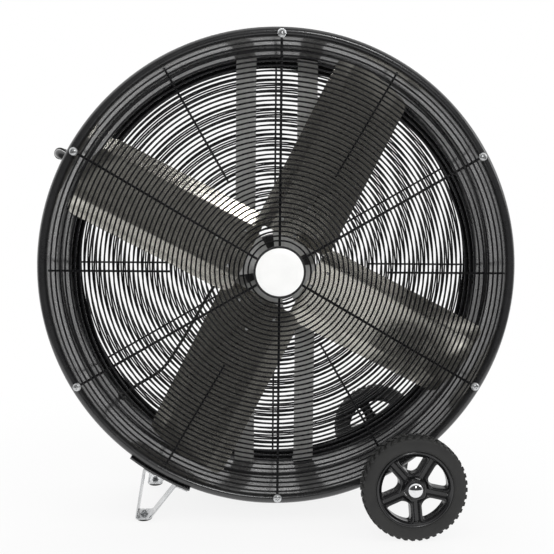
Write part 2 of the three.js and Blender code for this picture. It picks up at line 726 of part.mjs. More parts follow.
const wheelHubFace = rimBack + wheelRimInset;
function wheelSolid() {
  const rimInner = wheelRimRadius - wheelRimThickness;
  const rimLip = rimBack - wheelRimThickness / 2;
  let wheel = revolve([
    [rimInner, -rimLip], [wheelRimRadius, -rimBack], [wheelRimRadius, rimBack], [rimInner, rimLip],
  ], tyreSegments);
  wheel = join(wheel, revolve([
    [0, -wheelHubFace], [wheelHubRadius - 3, -wheelHubFace], [wheelHubRadius, -wheelHubFace + 4],
    [wheelHubRadius, rimBack], [0, rimBack],
  ], wheelSpokeCount * 2));
  const front = -rimBack + 3;
  const back = rimBack - 8;
  const ridge = wheelSpokeHalf - wheelSpokeRidge;
  const valley = ridge - 3;
  for (let i = 0; i < wheelSpokeCount; i += 1) {
    const channel = [[-wheelSpokeHalf, back], [-wheelSpokeHalf, front], [-ridge, front],
      [-valley, front + wheelSpokeValley], [valley, front + wheelSpokeValley], [ridge, front],
      [wheelSpokeHalf, front], [wheelSpokeHalf, back]];
    const spoke = slabX(channel, wheelHubRadius - 8, wheelRimRadius - wheelRimThickness / 2);
    wheel = join(wheel, turned(spoke, wheelSpokeAngle + i * 360 / wheelSpokeCount));
  }
  return cut(wheel, disc(axleRadius + fit, -wheelWidth, wheelWidth, axleSegments));
}

const capSeat = -wheelHubFace - axlePlay;
const axleEnd = wheelY - capSeat + hubCapSocket - 1;
function hubCap() {
  const dome = arc(0, capSeat - 1, 1, 0, 90, 4).map(([r, y]) => [
    hubCapRadius * r, capSeat - 1 - (y - capSeat + 1) * (hubCapHeight - 1)]);
  return revolve([
    ...dome.reverse(), [hubCapRadius, capSeat], [axleRadius + fit, capSeat],
    [axleRadius + fit, capSeat - hubCapSocket], [0, capSeat - hubCapSocket],
  ], axleSegments);
}

const wheelParts = { wheel_tyre: [tyreSolid(), finishes.rubber], wheel: [wheelSolid(), finishes.plastic],
  axle_cap: [hubCap(), finishes.chrome] };
for (const [end, face] of [['front', 1], ['back', -1]]) {
  const mount = new THREE.Group();
  mount.position.set(wheelX, -face * wheelY, wheelZ);
  mount.rotation.z = face > 0 ? 0 : Math.PI;
  drumGroup.add(mount);
  for (const [name, [solid, material]] of Object.entries(wheelParts)) {
    piece(`${end}_${name}`, solid, material, mount);
  }
}

const wheelInner = wheelY - rimBack - axlePlay;
const axle = join(
  moved(bar([0, -axleEnd, 0], [0, axleEnd, 0], axleRadius, axleSegments), { x: wheelX, z: wheelZ }),
  ...[-1, 1].map((side) => {
    const collar = bar([0, side * (halfDrum + 4), 0], [0, side * wheelInner, 0], axleCollar, axleSegments);
    return moved(collar, { x: wheelX, z: wheelZ });
  }),
);
piece('axle', axle, finishes.zinc);

// Each bracket is a channel: a foot on the drum wall and two ears that hold the axle.
const bracketY = halfDrum - 2 * curlRadius - bracketGap - bracketWidth / 2;
function axleBracket(y) {
  const foot = standRadius - bracketThickness;
  const brow = foot + 3 * bracketThickness;
  const half = bracketWidth / 2;
  const ear = [
    [foot, -bracketHalf], [brow, -bracketHalf], ...arc(axleFromAxis, 0, bracketTip, -75, 75, 4),
    [brow, bracketHalf], [foot, bracketHalf],
  ];
  const floor = wallOutside + fit + bracketThickness;
  let bracket = slabY(ear, -half, half);
  bracket = cut(bracket, block(floor, axleFromAxis + bracketTip + past, -half + bracketThickness,
    half - bracketThickness, -bracketHalf - past, bracketHalf + past));
  bracket = cut(bracket, moved(disc(axleRadius + fit, -half - past, half + past, axleSegments),
    { x: axleFromAxis }));
  return onWall(turned(moved(bracket, { y }), axleAngle));
}
piece('front_axle_bracket', axleBracket(-bracketY), finishes.blackPaint);
piece('back_axle_bracket', axleBracket(bracketY), finishes.blackPaint);

// ---- legs ----
const saddleInner = rimRadius + fit;
const saddleOuter = saddleInner + saddleThickness;
const saddleStart = saddleAngle - saddleHalfAngle;
const saddleEnd = saddleAngle + saddleHalfAngle;
function saddleOutline(inner, outer) {
  return [
    ...arc(0, 0, inner, saddleStart, saddleEnd, saddleSteps),
    ...arc(0, 0, outer, saddleEnd, saddleStart, saddleSteps),
  ];
}
piece('leg_saddle', slabY(saddleOutline(saddleInner, saddleOuter), -halfDrum, halfDrum), finishes.blackPaint);

const legY = halfDrum - legWidth / 2;
const footX = saddleOuter * Math.cos(rad(saddleAngle)) - footOutset;
const soleZ = footHeight - axisHeight + fit;
const legMiddle = soleZ + legThickness / 2;
const tabRadius = saddleOuter + fit + legThickness / 2;
const outerTab = saddleAngle - legOuterTab;
const innerTab = saddleAngle + legInnerTab;
const legPoints = [
  ...arc(0, 0, tabRadius, outerTab, outerTab - legTabSweep, 1),
  [footX - legFootHalf - 4, legMiddle + 4], [footX - legFootHalf, legMiddle],
  [footX + legFootHalf, legMiddle], [footX + legFootHalf + 4, legMiddle + 8],
  ...arc(0, 0, tabRadius, innerTab, innerTab + legTabSweep, 1),
];
function legSolid(y) {
  const strip = slabY(sheetOutline(legPoints, legThickness), y - legWidth / 2, y + legWidth / 2);
  const soleTop = soleZ + legThickness;
  const hole = bar([footX, y, soleZ - past], [footX, y, soleTop + past], footBoltRadius + fit, 6);
  const seat = slabY(saddleOutline(saddleInner - 4 * past, saddleOuter + fit), y - legWidth, y + legWidth);
  return cut(strip, seat, hole);
}

function rubberFoot(y) {
  const profile = [[0, 0], [footRadius, 0], [footRadius, footTaper], [footRadius - footTaper, footHeight],
    [0, footHeight]];
  const foot = moved(revolve(profile, 12), { turnX: 90, x: footX, y, z: -axisHeight });
  const wellZ = soleZ - footBoltDepth - fit;
  const well = bar([footX, y, wellZ], [footX, y, soleZ + past], footBoltRadius + fit, 6);
  return cut(foot, well);
}

function footBolt(y) {
  const top = soleZ + legThickness + fit;
  return join(
    bar([footX, y, soleZ - footBoltDepth], [footX, y, top + footNutHeight + 3], footBoltRadius, 6),
    bar([footX, y, top], [footX, y, top + footNutHeight], footNutRadius, 6),
  );
}
for (const [end, y] of [['front', -legY], ['back', legY]]) {
  piece(`${end}_leg`, legSolid(y), finishes.zinc);
  piece(`${end}_foot`, rubberFoot(y), finishes.rubber);
  piece(`${end}_foot_bolt`, footBolt(y), finishes.zinc);
}

// ---- handle, made at the 0 degree place and turned ----
const handleRadius = wallOutside + handleStandoff;
const wallFlat = wallRadius * Math.cos(Math.PI / drumSegments) - fit;
function handleSolid() {
  const tube = bentBar([
    [standRadius, -handleHalfLength, 0], [handleRadius, -handleHalfLength, 0],
    [handleRadius, handleHalfLength, 0], [standRadius, handleHalfLength, 0],
  ], handleTube, 8, handleBend, 18);
  const bores = [-1, 1].map((side) => bar([wallRadius - past, side * handleHalfLength, 0],
    [wallOutside + handleBoltReach + 1, side * handleHalfLength, 0], handleBoltShank + fit, 6));
  return onWall(turned(cut(tube, ...bores), handleAngle));
}
piece('handle_bar', handleSolid(), finishes.blackPaint);

const gripSides = 10;
const gripHalfLength = handleHalfLength - handleBend - gripEndGap;
const gripBore = (handleTube + fit) / Math.cos(Math.PI / gripSides);
const alongGrip = (half, radius) => bar([handleRadius, -half, 0], [handleRadius, half, 0], radius, gripSides);
const grip = cut(alongGrip(gripHalfLength, gripRadius), alongGrip(gripHalfLength + past, gripBore));
piece('handle_grip', turned(grip, handleAngle), finishes.rubber);
for (const [end, side] of [['front', -1], ['back', 1]]) {
  const bolt = boltSolid({ head: handleBoltHead, headHeight: handleBoltShank, shank: handleBoltShank,
    length: wallThickness + 2 + handleBoltReach, segments: 6 });
  const inside = moved(turned(moved(bolt, { turnZ: -90, x: wallFlat }), handleAngle),
    { y: side * handleHalfLength });
  piece(`${end}_handle_bolt`, inside, finishes.zinc);
}

// ---- switch box outside the wall, knob, inlet gland, and the lead from the motor ----
const boxFoot = wallOutside + fit;
const boxTop = boxFoot + boxDepth;
const boxShell = (foot, wall) => block(foot, boxTop - wall, boxY - boxLength / 2 + wall,
  boxY + boxLength / 2 - wall, -boxWidth / 2 + wall, boxWidth / 2 - wall);
const glandY = boxY - boxLength / 2;
const glandRun = boxFoot + boxDepth / 2;
const switchBox = cut(
  boxShell(standRadius - 1, 0),
  boxShell(standRadius - past, boxWall),
  bar([boxTop - 2 * past, boxY, 0], [boxTop + past, boxY, 0], knobStemRadius + fit, 8),
  bar([glandRun, glandY - past, 0], [glandRun, glandY + boxWall + past, 0], glandNeckRadius + fit, 12),
);
piece('switch_box', onWall(turned(switchBox, boxAngle)), finishes.plastic);

const knobFoot = boxTop + fit;
const knobTop = knobFoot + knobHeight;
let knob = bar([knobFoot, boxY, 0], [knobTop, boxY, 0], knobRadius, 12, knobRadius - knobTaper);
for (const side of [-1, 1]) {
  const inner = side * knobGripHalf;
  const outer = side * (knobRadius + past);
  knob = cut(knob, block(knobFoot + knobSkirt, knobTop + past, boxY - knobRadius - past,
    boxY + knobRadius + past, Math.min(inner, outer), Math.max(inner, outer)));
}
knob = join(knob, bar([boxTop - knobStemLength, boxY, 0], [knobFoot + 1, boxY, 0], knobStemRadius, 8));
piece('speed_knob', turned(knob, boxAngle), finishes.plastic);

const gland = cut(
  join(
    bar([glandRun, glandY - glandLength, 0], [glandRun, glandY - fit, 0], glandRadius, 12),
    bar([glandRun, glandY - 2, 0], [glandRun, glandY + 2 * boxWall, 0], glandNeckRadius, 12),
  ),
  bar([glandRun, glandY - glandLength - past, 0], [glandRun, glandY + 2 * boxWall + past, 0], leadRadius, 12),
);
piece('inlet_gland', turned(gland, boxAngle), finishes.plastic);

const grommetBore = leadRadius + leadGap;
const grommetDepth = 2 * wallThickness;
const grommet = revolve([
  [grommetBore, -grommetFlange], [grommetRadius + grommetFlange, -grommetFlange],
  [grommetRadius + grommetFlange, 0], [grommetRadius, 0], [grommetRadius, grommetDepth],
  [grommetBore, grommetDepth],
], grommetSides);
piece('lead_grommet', onRadial(grommet, boxAngle + 180, -wallFlat, boxY), finishes.rubber);

// The lead leaves the terminal box's side, crosses to the wall, and goes through the grommet.
const leadStart = [terminalX - fit, terminalY + terminalDepth / 2, -terminalHalfHeight / 2];
const leadRoute = [
  leadStart, [leadStart[0] - 14, leadStart[1], leadStart[2]], [-146, 52, -32], [-172, 80, -72],
  [-195, 90, -112], [-217, 94, -153], [-242, 94, -196], [-268, 92, -238], [-292, 88, -276], [-325, 84, -302],
  polar(wallRadius - 41, boxAngle, boxY), polar(wallRadius + 12, boxAngle, boxY),
];
const leadPath = new THREE.CatmullRomCurve3(leadRoute.map((point) => new THREE.Vector3(...point)), false,
  'centripetal');
piece('motor_lead', sweep(leadPath, leadRadius, 8, 24), finishes.rubber);

export default fan;
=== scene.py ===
import json
import math

import bmesh
import bpy
from mathutils import Matrix, Vector


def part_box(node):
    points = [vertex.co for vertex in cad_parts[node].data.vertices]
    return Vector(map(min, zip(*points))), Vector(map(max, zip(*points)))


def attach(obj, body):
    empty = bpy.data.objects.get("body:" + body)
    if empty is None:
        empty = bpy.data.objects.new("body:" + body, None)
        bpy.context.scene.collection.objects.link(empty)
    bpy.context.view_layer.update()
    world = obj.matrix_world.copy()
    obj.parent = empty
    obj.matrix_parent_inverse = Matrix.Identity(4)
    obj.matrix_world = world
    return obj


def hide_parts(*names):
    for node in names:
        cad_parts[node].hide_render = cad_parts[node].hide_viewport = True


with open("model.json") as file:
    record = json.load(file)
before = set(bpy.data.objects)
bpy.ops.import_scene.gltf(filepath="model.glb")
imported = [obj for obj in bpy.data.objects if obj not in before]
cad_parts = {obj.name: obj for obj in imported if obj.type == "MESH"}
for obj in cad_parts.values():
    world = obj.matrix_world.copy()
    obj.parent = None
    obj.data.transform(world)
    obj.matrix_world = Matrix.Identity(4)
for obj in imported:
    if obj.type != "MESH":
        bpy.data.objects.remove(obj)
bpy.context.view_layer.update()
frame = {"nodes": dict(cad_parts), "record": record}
nodes = frame["nodes"]
scene = bpy.context.scene
scene.view_settings.view_transform = "Standard"

# the drum's own sizes, read from the frame
drumLow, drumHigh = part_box("drum_shell")
axisHeight = (drumLow.z + drumHigh.z) / 2
rimRadius = (drumHigh.x - drumLow.x) / 2
halfDrum = drumHigh.y
curlRadius = 0.012
wallRadius = rimRadius - 2 * curlRadius
axisPoint = Vector((0, 0, axisHeight))
fullTurn = 2 * math.pi
print("frame loaded:", len(nodes), "nodes")


# ---- camera, at the photo's own place ----
cameraLook = {"place": (-0.0845, -1.8596, 0.7498), "yaw": 2.63, "pitch": 5.12, "roll": 0.55, "lens": 47.67}


def makeCamera(look):
    yaw, pitch, roll = (math.radians(look[key]) for key in ("yaw", "pitch", "roll"))
    ahead = Vector((math.sin(yaw) * math.cos(pitch), math.cos(yaw) * math.cos(pitch), -math.sin(pitch)))
    side = Vector((math.cos(yaw), -math.sin(yaw), 0))
    up = side.cross(ahead)
    right = side * math.cos(roll) + up * math.sin(roll)
    upward = up * math.cos(roll) - side * math.sin(roll)
    data = bpy.data.cameras.new("camera")
    data.lens = look["lens"]
    data.sensor_width = 36
    camera = bpy.data.objects.new("camera", data)
    turn = Matrix((right, upward, -ahead)).transposed().to_4x4()
    camera.matrix_world = Matrix.Translation(look["place"]) @ turn
    scene.collection.objects.link(camera)
    scene.camera = camera


makeCamera(cameraLook)
print("camera placed")


# ---- finishes ----
class NodeTree:
    # short ways to fill the node tree of a material or of the world
    def __init__(self, tree):
        self.tree = tree
        tree.nodes.clear()

    def add(self, kind, inputs=()):
        # each input gets a value, or a link when it is another node's output
        node = self.tree.nodes.new("ShaderNode" + kind)
        for name, value in dict(inputs).items():
            if isinstance(value, bpy.types.NodeSocket):
                self.link(value, node.inputs[name])
            else:
                node.inputs[name].default_value = value
        return node

    def link(self, source, target):
        self.tree.links.new(source, target)

    def fade(self, value, start, end, low, high, kind="SMOOTHSTEP"):
        node = self.add("MapRange", {"Value": value, "From Min": start, "From Max": end, "To Min": low,
                                     "To Max": high})
        node.interpolation_type = kind
        return node.outputs["Result"]


class Finish(NodeTree):
    # a material with a principled shader, and the patterns that these finishes use
    def __init__(self, name, metal=0.0, coat=0.0, coatRoughness=0.1, specular=0.5):
        self.material = bpy.data.materials.new(name)
        self.material.use_nodes = True
        super().__init__(self.material.node_tree)
        self.shader = self.add("BsdfPrincipled", {"Metallic": metal, "Coat Weight": coat,
                                                  "Coat Roughness": coatRoughness, "Specular IOR Level": specular})
        self.add("OutputMaterial", {"Surface": self.shader.outputs["BSDF"]})
        self.place = self.add("TexCoord").outputs["Object"]

    def stretched(self, scale):
        return self.add("Mapping", {"Scale": scale, "Vector": self.place}).outputs["Vector"]

    def noise(self, scale, detail=3.0, roughness=0.5, place=None):
        return self.add("TexNoise", {"Scale": scale, "Detail": detail, "Roughness": roughness,
                                     "Vector": place or self.place}).outputs["Fac"]

    def cells(self, scale, output="Color"):
        return self.add("TexVoronoi", {"Scale": scale, "Vector": self.place}).outputs[output]

    def grey(self, colour):
        return self.add("RGBToBW", {"Color": colour}).outputs["Val"]

    def ramp(self, value, *stops):
        node = self.add("ValToRGB", {"Fac": value})
        for element, (position, colour) in zip(node.color_ramp.elements, stops):
            element.position = position
            element.color = (*colour, 1) if isinstance(colour, tuple) else (colour, colour, colour, 1)
        return node.outputs["Color"]

    def mix(self, share, first, second):
        first, second = ((*value, 1) if isinstance(value, tuple) else value for value in (first, second))
        return self.add("MixRGB", {"Fac": share, "Color1": first, "Color2": second}).outputs["Color"]

    def spread(self, value, low, high):
        # a pattern's middle values, 0.3 to 0.7, spread from low to high
        return self.fade(value, 0.3, 0.7, low, high, "LINEAR")

    def colour(self, value):
        self.link(value, self.shader.inputs["Base Color"])

    def rough(self, value):
        self.link(value, self.shader.inputs["Roughness"])

    def bumps(self, *layers):
        # each layer is a height, its strength and its depth in metres
        below = {}
        for height, strength, depth in layers:
            node = self.add("Bump", {"Strength": strength, "Distance": depth, "Height": height, **below})
            below = {"Normal": node.outputs["Normal"]}
        self.link(below["Normal"], self.shader.inputs["Normal"])


paintCoatRoughness = 0.14


def blackPaint(name, look):
    finish = Finish(name, coat=look["coat"], coatRoughness=paintCoatRoughness, specular=look["specular"])
    cloud = finish.noise(look["cloud"], 5)
    dust = finish.noise(look["dust"], 8, 0.65)
    base = finish.ramp(cloud, (0.3, look["dark"]), (0.7, look["light"]))
    dusty = finish.ramp(dust, (0.55, 0.0), (0.8, look["dustShare"]))
    finish.colour(finish.mix(dusty, base, look["dustColour"]))
    finish.rough(finish.spread(dust, look["gloss"], look["gloss"] + 0.14))
    finish.bumps((finish.noise(look["peel"], 2), 0.25, 0.00012), (finish.noise(9, 2), 0.3, 0.0012))
    return finish.material


def galvanised():
    # zinc spangle: patches of crystals that differ in tone and in gloss, dulled by a cloudy film
    finish = Finish("galvanisedSheet", metal=0.97)
    spangle = finish.grey(finish.cells(95))
    fine = finish.grey(finish.cells(310))
    cloud = finish.noise(7, 6, 0.6)
    streak = finish.noise(60, 4, 0.6, finish.stretched((1, 1, 6)))
    tone = finish.ramp(spangle, (0.25, (0.80, 0.775, 0.70)), (0.75, (0.90, 0.875, 0.80)))
    film = finish.ramp(cloud, (0.35, (0.88, 0.855, 0.78)), (0.7, (0.76, 0.745, 0.69)))
    crystals = finish.ramp(fine, (0.2, (0.80, 0.775, 0.70)), (0.8, (0.90, 0.875, 0.80)))
    finish.colour(finish.mix(0.4, finish.mix(0.35, tone, film), crystals))
    finish.rough(finish.mix(0.5, finish.spread(spangle, 0.15, 0.23), finish.spread(streak, 0.14, 0.24)))
    finish.bumps((fine, 0.03, 0.0001), (cloud, 0.15, 0.002))
    return finish.material


def platedSteel(name, look):
    finish = Finish(name, metal=look["metal"])
    grain = finish.noise(look["grain"], 5, 0.6, finish.stretched(look["stretch"]))
    cloud = finish.noise(14, 5, 0.6)
    tone = finish.ramp(grain, (0.3, look["dark"]), (0.7, look["light"]))
    finish.colour(finish.mix(finish.ramp(cloud, (0.45, 0.0), (0.85, 0.5)), tone, look["film"]))
    finish.rough(finish.spread(cloud, look["gloss"], look["gloss"] + 0.16))
    finish.bumps((grain, 0.15, 0.00008), (cloud, 0.12, 0.0006))
    return finish.material


def rubber(name, look):
    finish = Finish(name, specular=0.35)
    cloud = finish.noise(look["cloud"], 6, 0.6)
    pores = finish.noise(1400, 2)
    finish.colour(finish.ramp(cloud, (0.3, look["dark"]), (0.72, look["light"])))
    finish.rough(finish.spread(cloud, look["gloss"], look["gloss"] + 0.15))
    finish.bumps((pores, 0.4, 0.00012), (finish.noise(160, 4), 0.2, 0.0003))
    return finish.material


def mouldedPlastic():
    finish = Finish("mouldedPlastic", specular=0.5)
    cloud = finish.noise(22, 5)
    grain = finish.cells(1500, "Distance")
    finish.colour(finish.ramp(cloud, (0.3, (0.012, 0.012, 0.013)), (0.7, (0.022, 0.022, 0.023))))
    finish.rough(finish.spread(cloud, 0.16, 0.28))
    finish.bumps((grain, 0.25, 0.00008), (finish.noise(40, 3), 0.12, 0.0006))
    return finish.material


def chromed():
    finish = Finish("chrome", metal=1.0)
    cloud = finish.noise(90, 4)
    finish.colour(finish.ramp(cloud, (0.3, (0.74, 0.75, 0.77)), (0.7, (0.86, 0.86, 0.87))))
    finish.rough(finish.spread(finish.noise(260, 5, 0.7), 0.05, 0.13))
    finish.bumps((cloud, 0.1, 0.0002))
    return finish.material


def whiteDisc():
    finish = Finish("whiteDisc", coat=0.4)
    cloud = finish.noise(30, 4)
    finish.colour(finish.ramp(cloud, (0.3, (0.89, 0.89, 0.88)), (0.7, (0.93, 0.93, 0.92))))
    finish.rough(finish.spread(finish.noise(240, 3), 0.3, 0.42))
    finish.bumps((finish.noise(700, 2), 0.15, 0.00005))
    return finish.material


paintLooks = {
    "drumPaint": {"coat": 0.8, "specular": 0.5, "cloud": 6, "dust": 35, "peel": 420, "gloss": 0.22,
                  "dustShare": 0.06, "dustColour": (0.12, 0.12, 0.12),
                  "dark": (0.014, 0.014, 0.015), "light": (0.021, 0.021, 0.022)},
    "wirePaint": {"coat": 0.0, "specular": 0.25, "cloud": 20, "dust": 90, "peel": 900, "gloss": 0.22,
                  "dustShare": 0.02, "dustColour": (0.05, 0.05, 0.05),
                  "dark": (0.003, 0.003, 0.004), "light": (0.006, 0.006, 0.007)},
    "motorPaint": {"coat": 0.1, "specular": 0.5, "cloud": 12, "dust": 60, "peel": 600, "gloss": 0.36,
                   "dustShare": 0.16, "dustColour": (0.17, 0.165, 0.16),
                   "dark": (0.022, 0.022, 0.024), "light": (0.036, 0.036, 0.038)},
}
steelLooks = {
    "strapSteel": {"metal": 0.12, "grain": 120, "stretch": (1, 1, 0.06), "dark": (0.46, 0.46, 0.45),
                   "light": (0.58, 0.58, 0.57), "film": (0.40, 0.40, 0.39), "gloss": 0.34},
    "zincPlate": {"metal": 0.85, "grain": 240, "stretch": (1, 0.2, 1), "dark": (0.52, 0.53, 0.54),
                  "light": (0.68, 0.69, 0.70), "film": (0.46, 0.455, 0.43), "gloss": 0.18},
    "laminations": {"metal": 0.6, "grain": 900, "stretch": (0.1, 1, 0.1), "dark": (0.13, 0.12, 0.11),
                    "light": (0.22, 0.21, 0.20), "film": (0.20, 0.13, 0.09), "gloss": 0.45},
}
rubberLooks = {
    "tyreRubber": {"cloud": 18, "dark": (0.020, 0.020, 0.020), "light": (0.032, 0.032, 0.031), "gloss": 0.52},
    "footRubber": {"cloud": 40, "dark": (0.014, 0.014, 0.014), "light": (0.028, 0.028, 0.027), "gloss": 0.50},
}
drumPaint, wirePaint, motorPaint = (blackPaint(name, look) for name, look in paintLooks.items())
strapSteel, zincPlate, laminations = (platedSteel(name, look) for name, look in steelLooks.items())
tyreRubber, footRubber = (rubber(name, look) for name, look in rubberLooks.items())
galvanisedSheet = galvanised()
blackPlastic = mouldedPlastic()
chrome = chromed()
discWhite = whiteDisc()
finishOfSlot = {
    "drum_paint": drumPaint, "wire_paint": wirePaint, "motor_paint": motorPaint, "strap_steel": strapSteel,
    "zinc": zincPlate, "lamination": laminations, "tyre_rubber": tyreRubber, "foot_rubber": footRubber,
    "galvanised": galvanisedSheet, "black_plastic": blackPlastic, "chrome": chrome, "badge_white": discWhite,
}
print("finishes made:", len(finishOfSlot))


# ---- shared ways of making a mesh, and the limits of a rounded edge ----
bevelSteps, bevelAngle = 2, 35


def makePiece(name, bm, body, slot, replaced=(), sharpAngle=35, thickness=0, bevel=0):
    mesh = bpy.data.meshes.new(name)
    bm.to_mesh(mesh)
    bm.free()
    mesh.shade_smooth()
    mesh.set_sharp_from_angle(angle=math.radians(sharpAngle))
    piece = bpy.data.objects.new(name, mesh)
    scene.collection.objects.link(piece)
    piece.data.materials.append(finishOfSlot[slot])
    if thickness:
        wall = piece.modifiers.new("wall", "SOLIDIFY")
        wall.thickness = thickness
        wall.offset = 0
        wall.use_even_offset = True
    if bevel:
        edges = piece.modifiers.new("edges", "BEVEL")
        edges.width = bevel
        edges.segments = bevelSteps
        edges.limit_method = "ANGLE"
        edges.angle_limit = math.radians(bevelAngle)
        edges.harden_normals = True
    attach(piece, body)
    if replaced:
        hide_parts(*replaced)


def tidied(bm, gap=0.00001):
    bmesh.ops.remove_doubles(bm, verts=bm.verts, dist=gap)
    bmesh.ops.recalc_face_normals(bm, faces=bm.faces)
    return bm


def moveAll(bm, matrix):
    bmesh.ops.transform(bm, matrix=matrix, verts=bm.verts)
    return bm


def edgesOf(verts):
    return list({edge for vert in verts for edge in vert.link_edges})


def vertsOf(geom):
    return [part for part in geom if isinstance(part, bmesh.types.BMVert)]


def spinRound(bm, geom, steps):
    bmesh.ops.spin(bm, geom=geom, cent=(0, 0, 0), axis=(0, 1, 0), angle=fullTurn, steps=steps, use_merge=True)


def spinProfile(bm, profile, steps, closed=False):
    # profile points are (radius, y); they are spun round the Y axis
    corners = [bm.verts.new((radius, y, 0)) for radius, y in profile]
    edges = [bm.edges.new(pair) for pair in zip(corners, corners[1:])]
    if closed:
        edges.append(bm.edges.new((corners[-1], corners[0])))
    spinRound(bm, corners + edges, steps)


def spunMesh(profile, steps, closed=False):
    bm = bmesh.new()
    spinProfile(bm, profile, steps, closed)
    return tidied(bm)


def spun(profile, steps, closed=False, at=axisPoint):
    return moveAll(spunMesh(profile, steps, closed), Matrix.Translation(at))


def arcPoints(centre, radius, start, end, steps):
    angles = [math.radians(start + (end - start) * i / steps) for i in range(steps + 1)]
    return [(centre[0] + radius * math.cos(a), centre[1] + radius * math.sin(a)) for a in angles]


def domePoints(radius, height, step):
    # from the dome's edge to its top, which is towards -Y
    angles = [math.radians(degrees) for degrees in range(0, 91, step)]
    return [(radius * math.cos(a), -height * math.sin(a)) for a in angles]


def addRing(bm, radius, y, wire, steps, sides=6):
    place = Matrix.Translation((radius, y, 0))
    circle = bmesh.ops.create_circle(bm, cap_ends=False, segments=sides, radius=wire, matrix=place)["verts"]
    spinRound(bm, circle + edgesOf(circle), steps)


def addRod(bm, start, end, radius, sides=8, endRadius=None):
    start, end = Vector(start), Vector(end)
    turn = (end - start).to_track_quat("Z", "Y").to_matrix().to_4x4()
    bmesh.ops.create_cone(bm, cap_ends=True, cap_tris=False, segments=sides, radius1=radius,
                          radius2=radius if endRadius is None else endRadius, depth=(end - start).length,
                          matrix=Matrix.Translation((start + end) / 2) @ turn)


def softenEdges(bm, verts, width, steps):
    bmesh.ops.bevel(bm, geom=edgesOf(verts), offset=width, segments=steps, profile=0.5, affect="EDGES", material=-1)


def addBlock(bm, size, matrix, bevel=0, steps=2):
    made = bmesh.ops.create_cube(bm, size=1, matrix=matrix @ Matrix.Diagonal((*size, 1)))["verts"]
    if bevel:
        softenEdges(bm, made, bevel, steps)
    return made


def cut(bm, place, normal, gap=0.00001, cleared=False):
    # splits what a plane crosses, and can clear what lies beyond it
    bmesh.ops.bisect_plane(bm, geom=bm.verts[:] + bm.edges[:] + bm.faces[:], plane_co=place, plane_no=normal,
                           dist=gap, clear_outer=cleared)


def pushFaces(bm, faces, move):
    pushed = bmesh.ops.extrude_face_region(bm, geom=faces)["geom"]
    bmesh.ops.translate(bm, vec=move, verts=vertsOf(pushed))


def addTo(bm, part, matrix=Matrix()):
    # joins a finished mesh into another one
    loose = bpy.data.meshes.new("loose")
    part.to_mesh(loose)
    part.free()
    loose.transform(matrix)
    bm.from_mesh(loose)
    bpy.data.meshes.remove(loose)


def turned(degrees, axis):
    return Matrix.Rotation(math.radians(degrees), 4, axis)


def turnedBy(degrees):
    # a counter-clockwise turn about the fan axis, seen from the front
    return turned(-degrees, "Y")


def onAxis(degrees=0):
    return Matrix.Translation(axisPoint) @ turnedBy(degrees)


def tubeMesh(path, radius, rounded=True, sides=4):
    # a round bar along a line of points, as a mesh
    data = bpy.data.curves.new("line", "CURVE")
    data.dimensions = "3D"
    data.bevel_depth = radius
    data.bevel_resolution = sides
    data.use_fill_caps = True
    data.resolution_u = 10
    spline = data.splines.new("NURBS" if rounded else "POLY")
    spline.points.add(len(path) - 1)
    for point, place in zip(spline.points, path):
        point.co = (*place, 1)
    if rounded:
        spline.order_u = 4
        spline.use_endpoint_u = True
    line = bpy.data.objects.new("line", data)
    scene.collection.objects.link(line)
    bpy.context.view_layer.update()
    bm = bmesh.new()
    mesh = bpy.data.meshes.new_from_object(line.evaluated_get(bpy.context.evaluated_depsgraph_get()))
    bm.from_mesh(mesh)
    bpy.data.objects.remove(line)
    bpy.data.meshes.remove(mesh)
    return tidied(bm)


def roundedPath(corners, bend, steps=5):
    # straight runs joined by arcs; the points crowd at the bends
    path = [Vector(corners[0])]
    for before, corner, after in zip(corners, corners[1:], corners[2:]):
        before, corner, after = Vector(before), Vector(corner), Vector(after)
        start = corner + (before - corner).normalized() * bend
        end = corner + (after - corner).normalized() * bend
        for i in range(steps + 1):
            share = i / steps
            path.append(start.lerp(corner, share).lerp(corner.lerp(end, share), share))
    return path + [Vector(corners[-1])]


def softened(name, node, slot, body="frame", width=0.0008, sharpAngle=30):
    # the CAD node's own shape, with its facets joined and its edges rounded
    bm = bmesh.new()
    bm.from_mesh(nodes[node].data)
    bmesh.ops.remove_doubles(bm, verts=bm.verts, dist=0.00001)
    bmesh.ops.dissolve_limit(bm, angle_limit=math.radians(1), verts=bm.verts, edges=bm.edges)
    makePiece(name, bm, body, slot, [node], sharpAngle=sharpAngle, bevel=width)


# ---- drum: one sheet with a bead in the middle and a rolled rim at each end ----
drumLook = {"thickness": 0.0016, "beadHalf": 0.015, "beadHeight": 0.007, "steps": 200}


def makeDrum(look):
    centre = (wallRadius + curlRadius, halfDrum - curlRadius)
    rolled = curlRadius - look["thickness"] / 2
    back = arcPoints(centre, rolled, -130, 180, 22)
    wall = wallRadius + look["thickness"] / 2
    bead = [(wall + look["beadHeight"] * math.sin(math.pi * i / 10) ** 2,
             look["beadHalf"] * (1 - i / 5)) for i in range(11)]
    front = [(radius, -y) for radius, y in reversed(back)]
    bm = spun(back + bead + front, look["steps"])
    makePiece("drumWall", bm, "frame", "drum_paint", ["drum_shell"], thickness=look["thickness"])


makeDrum(drumLook)
print("drum made")


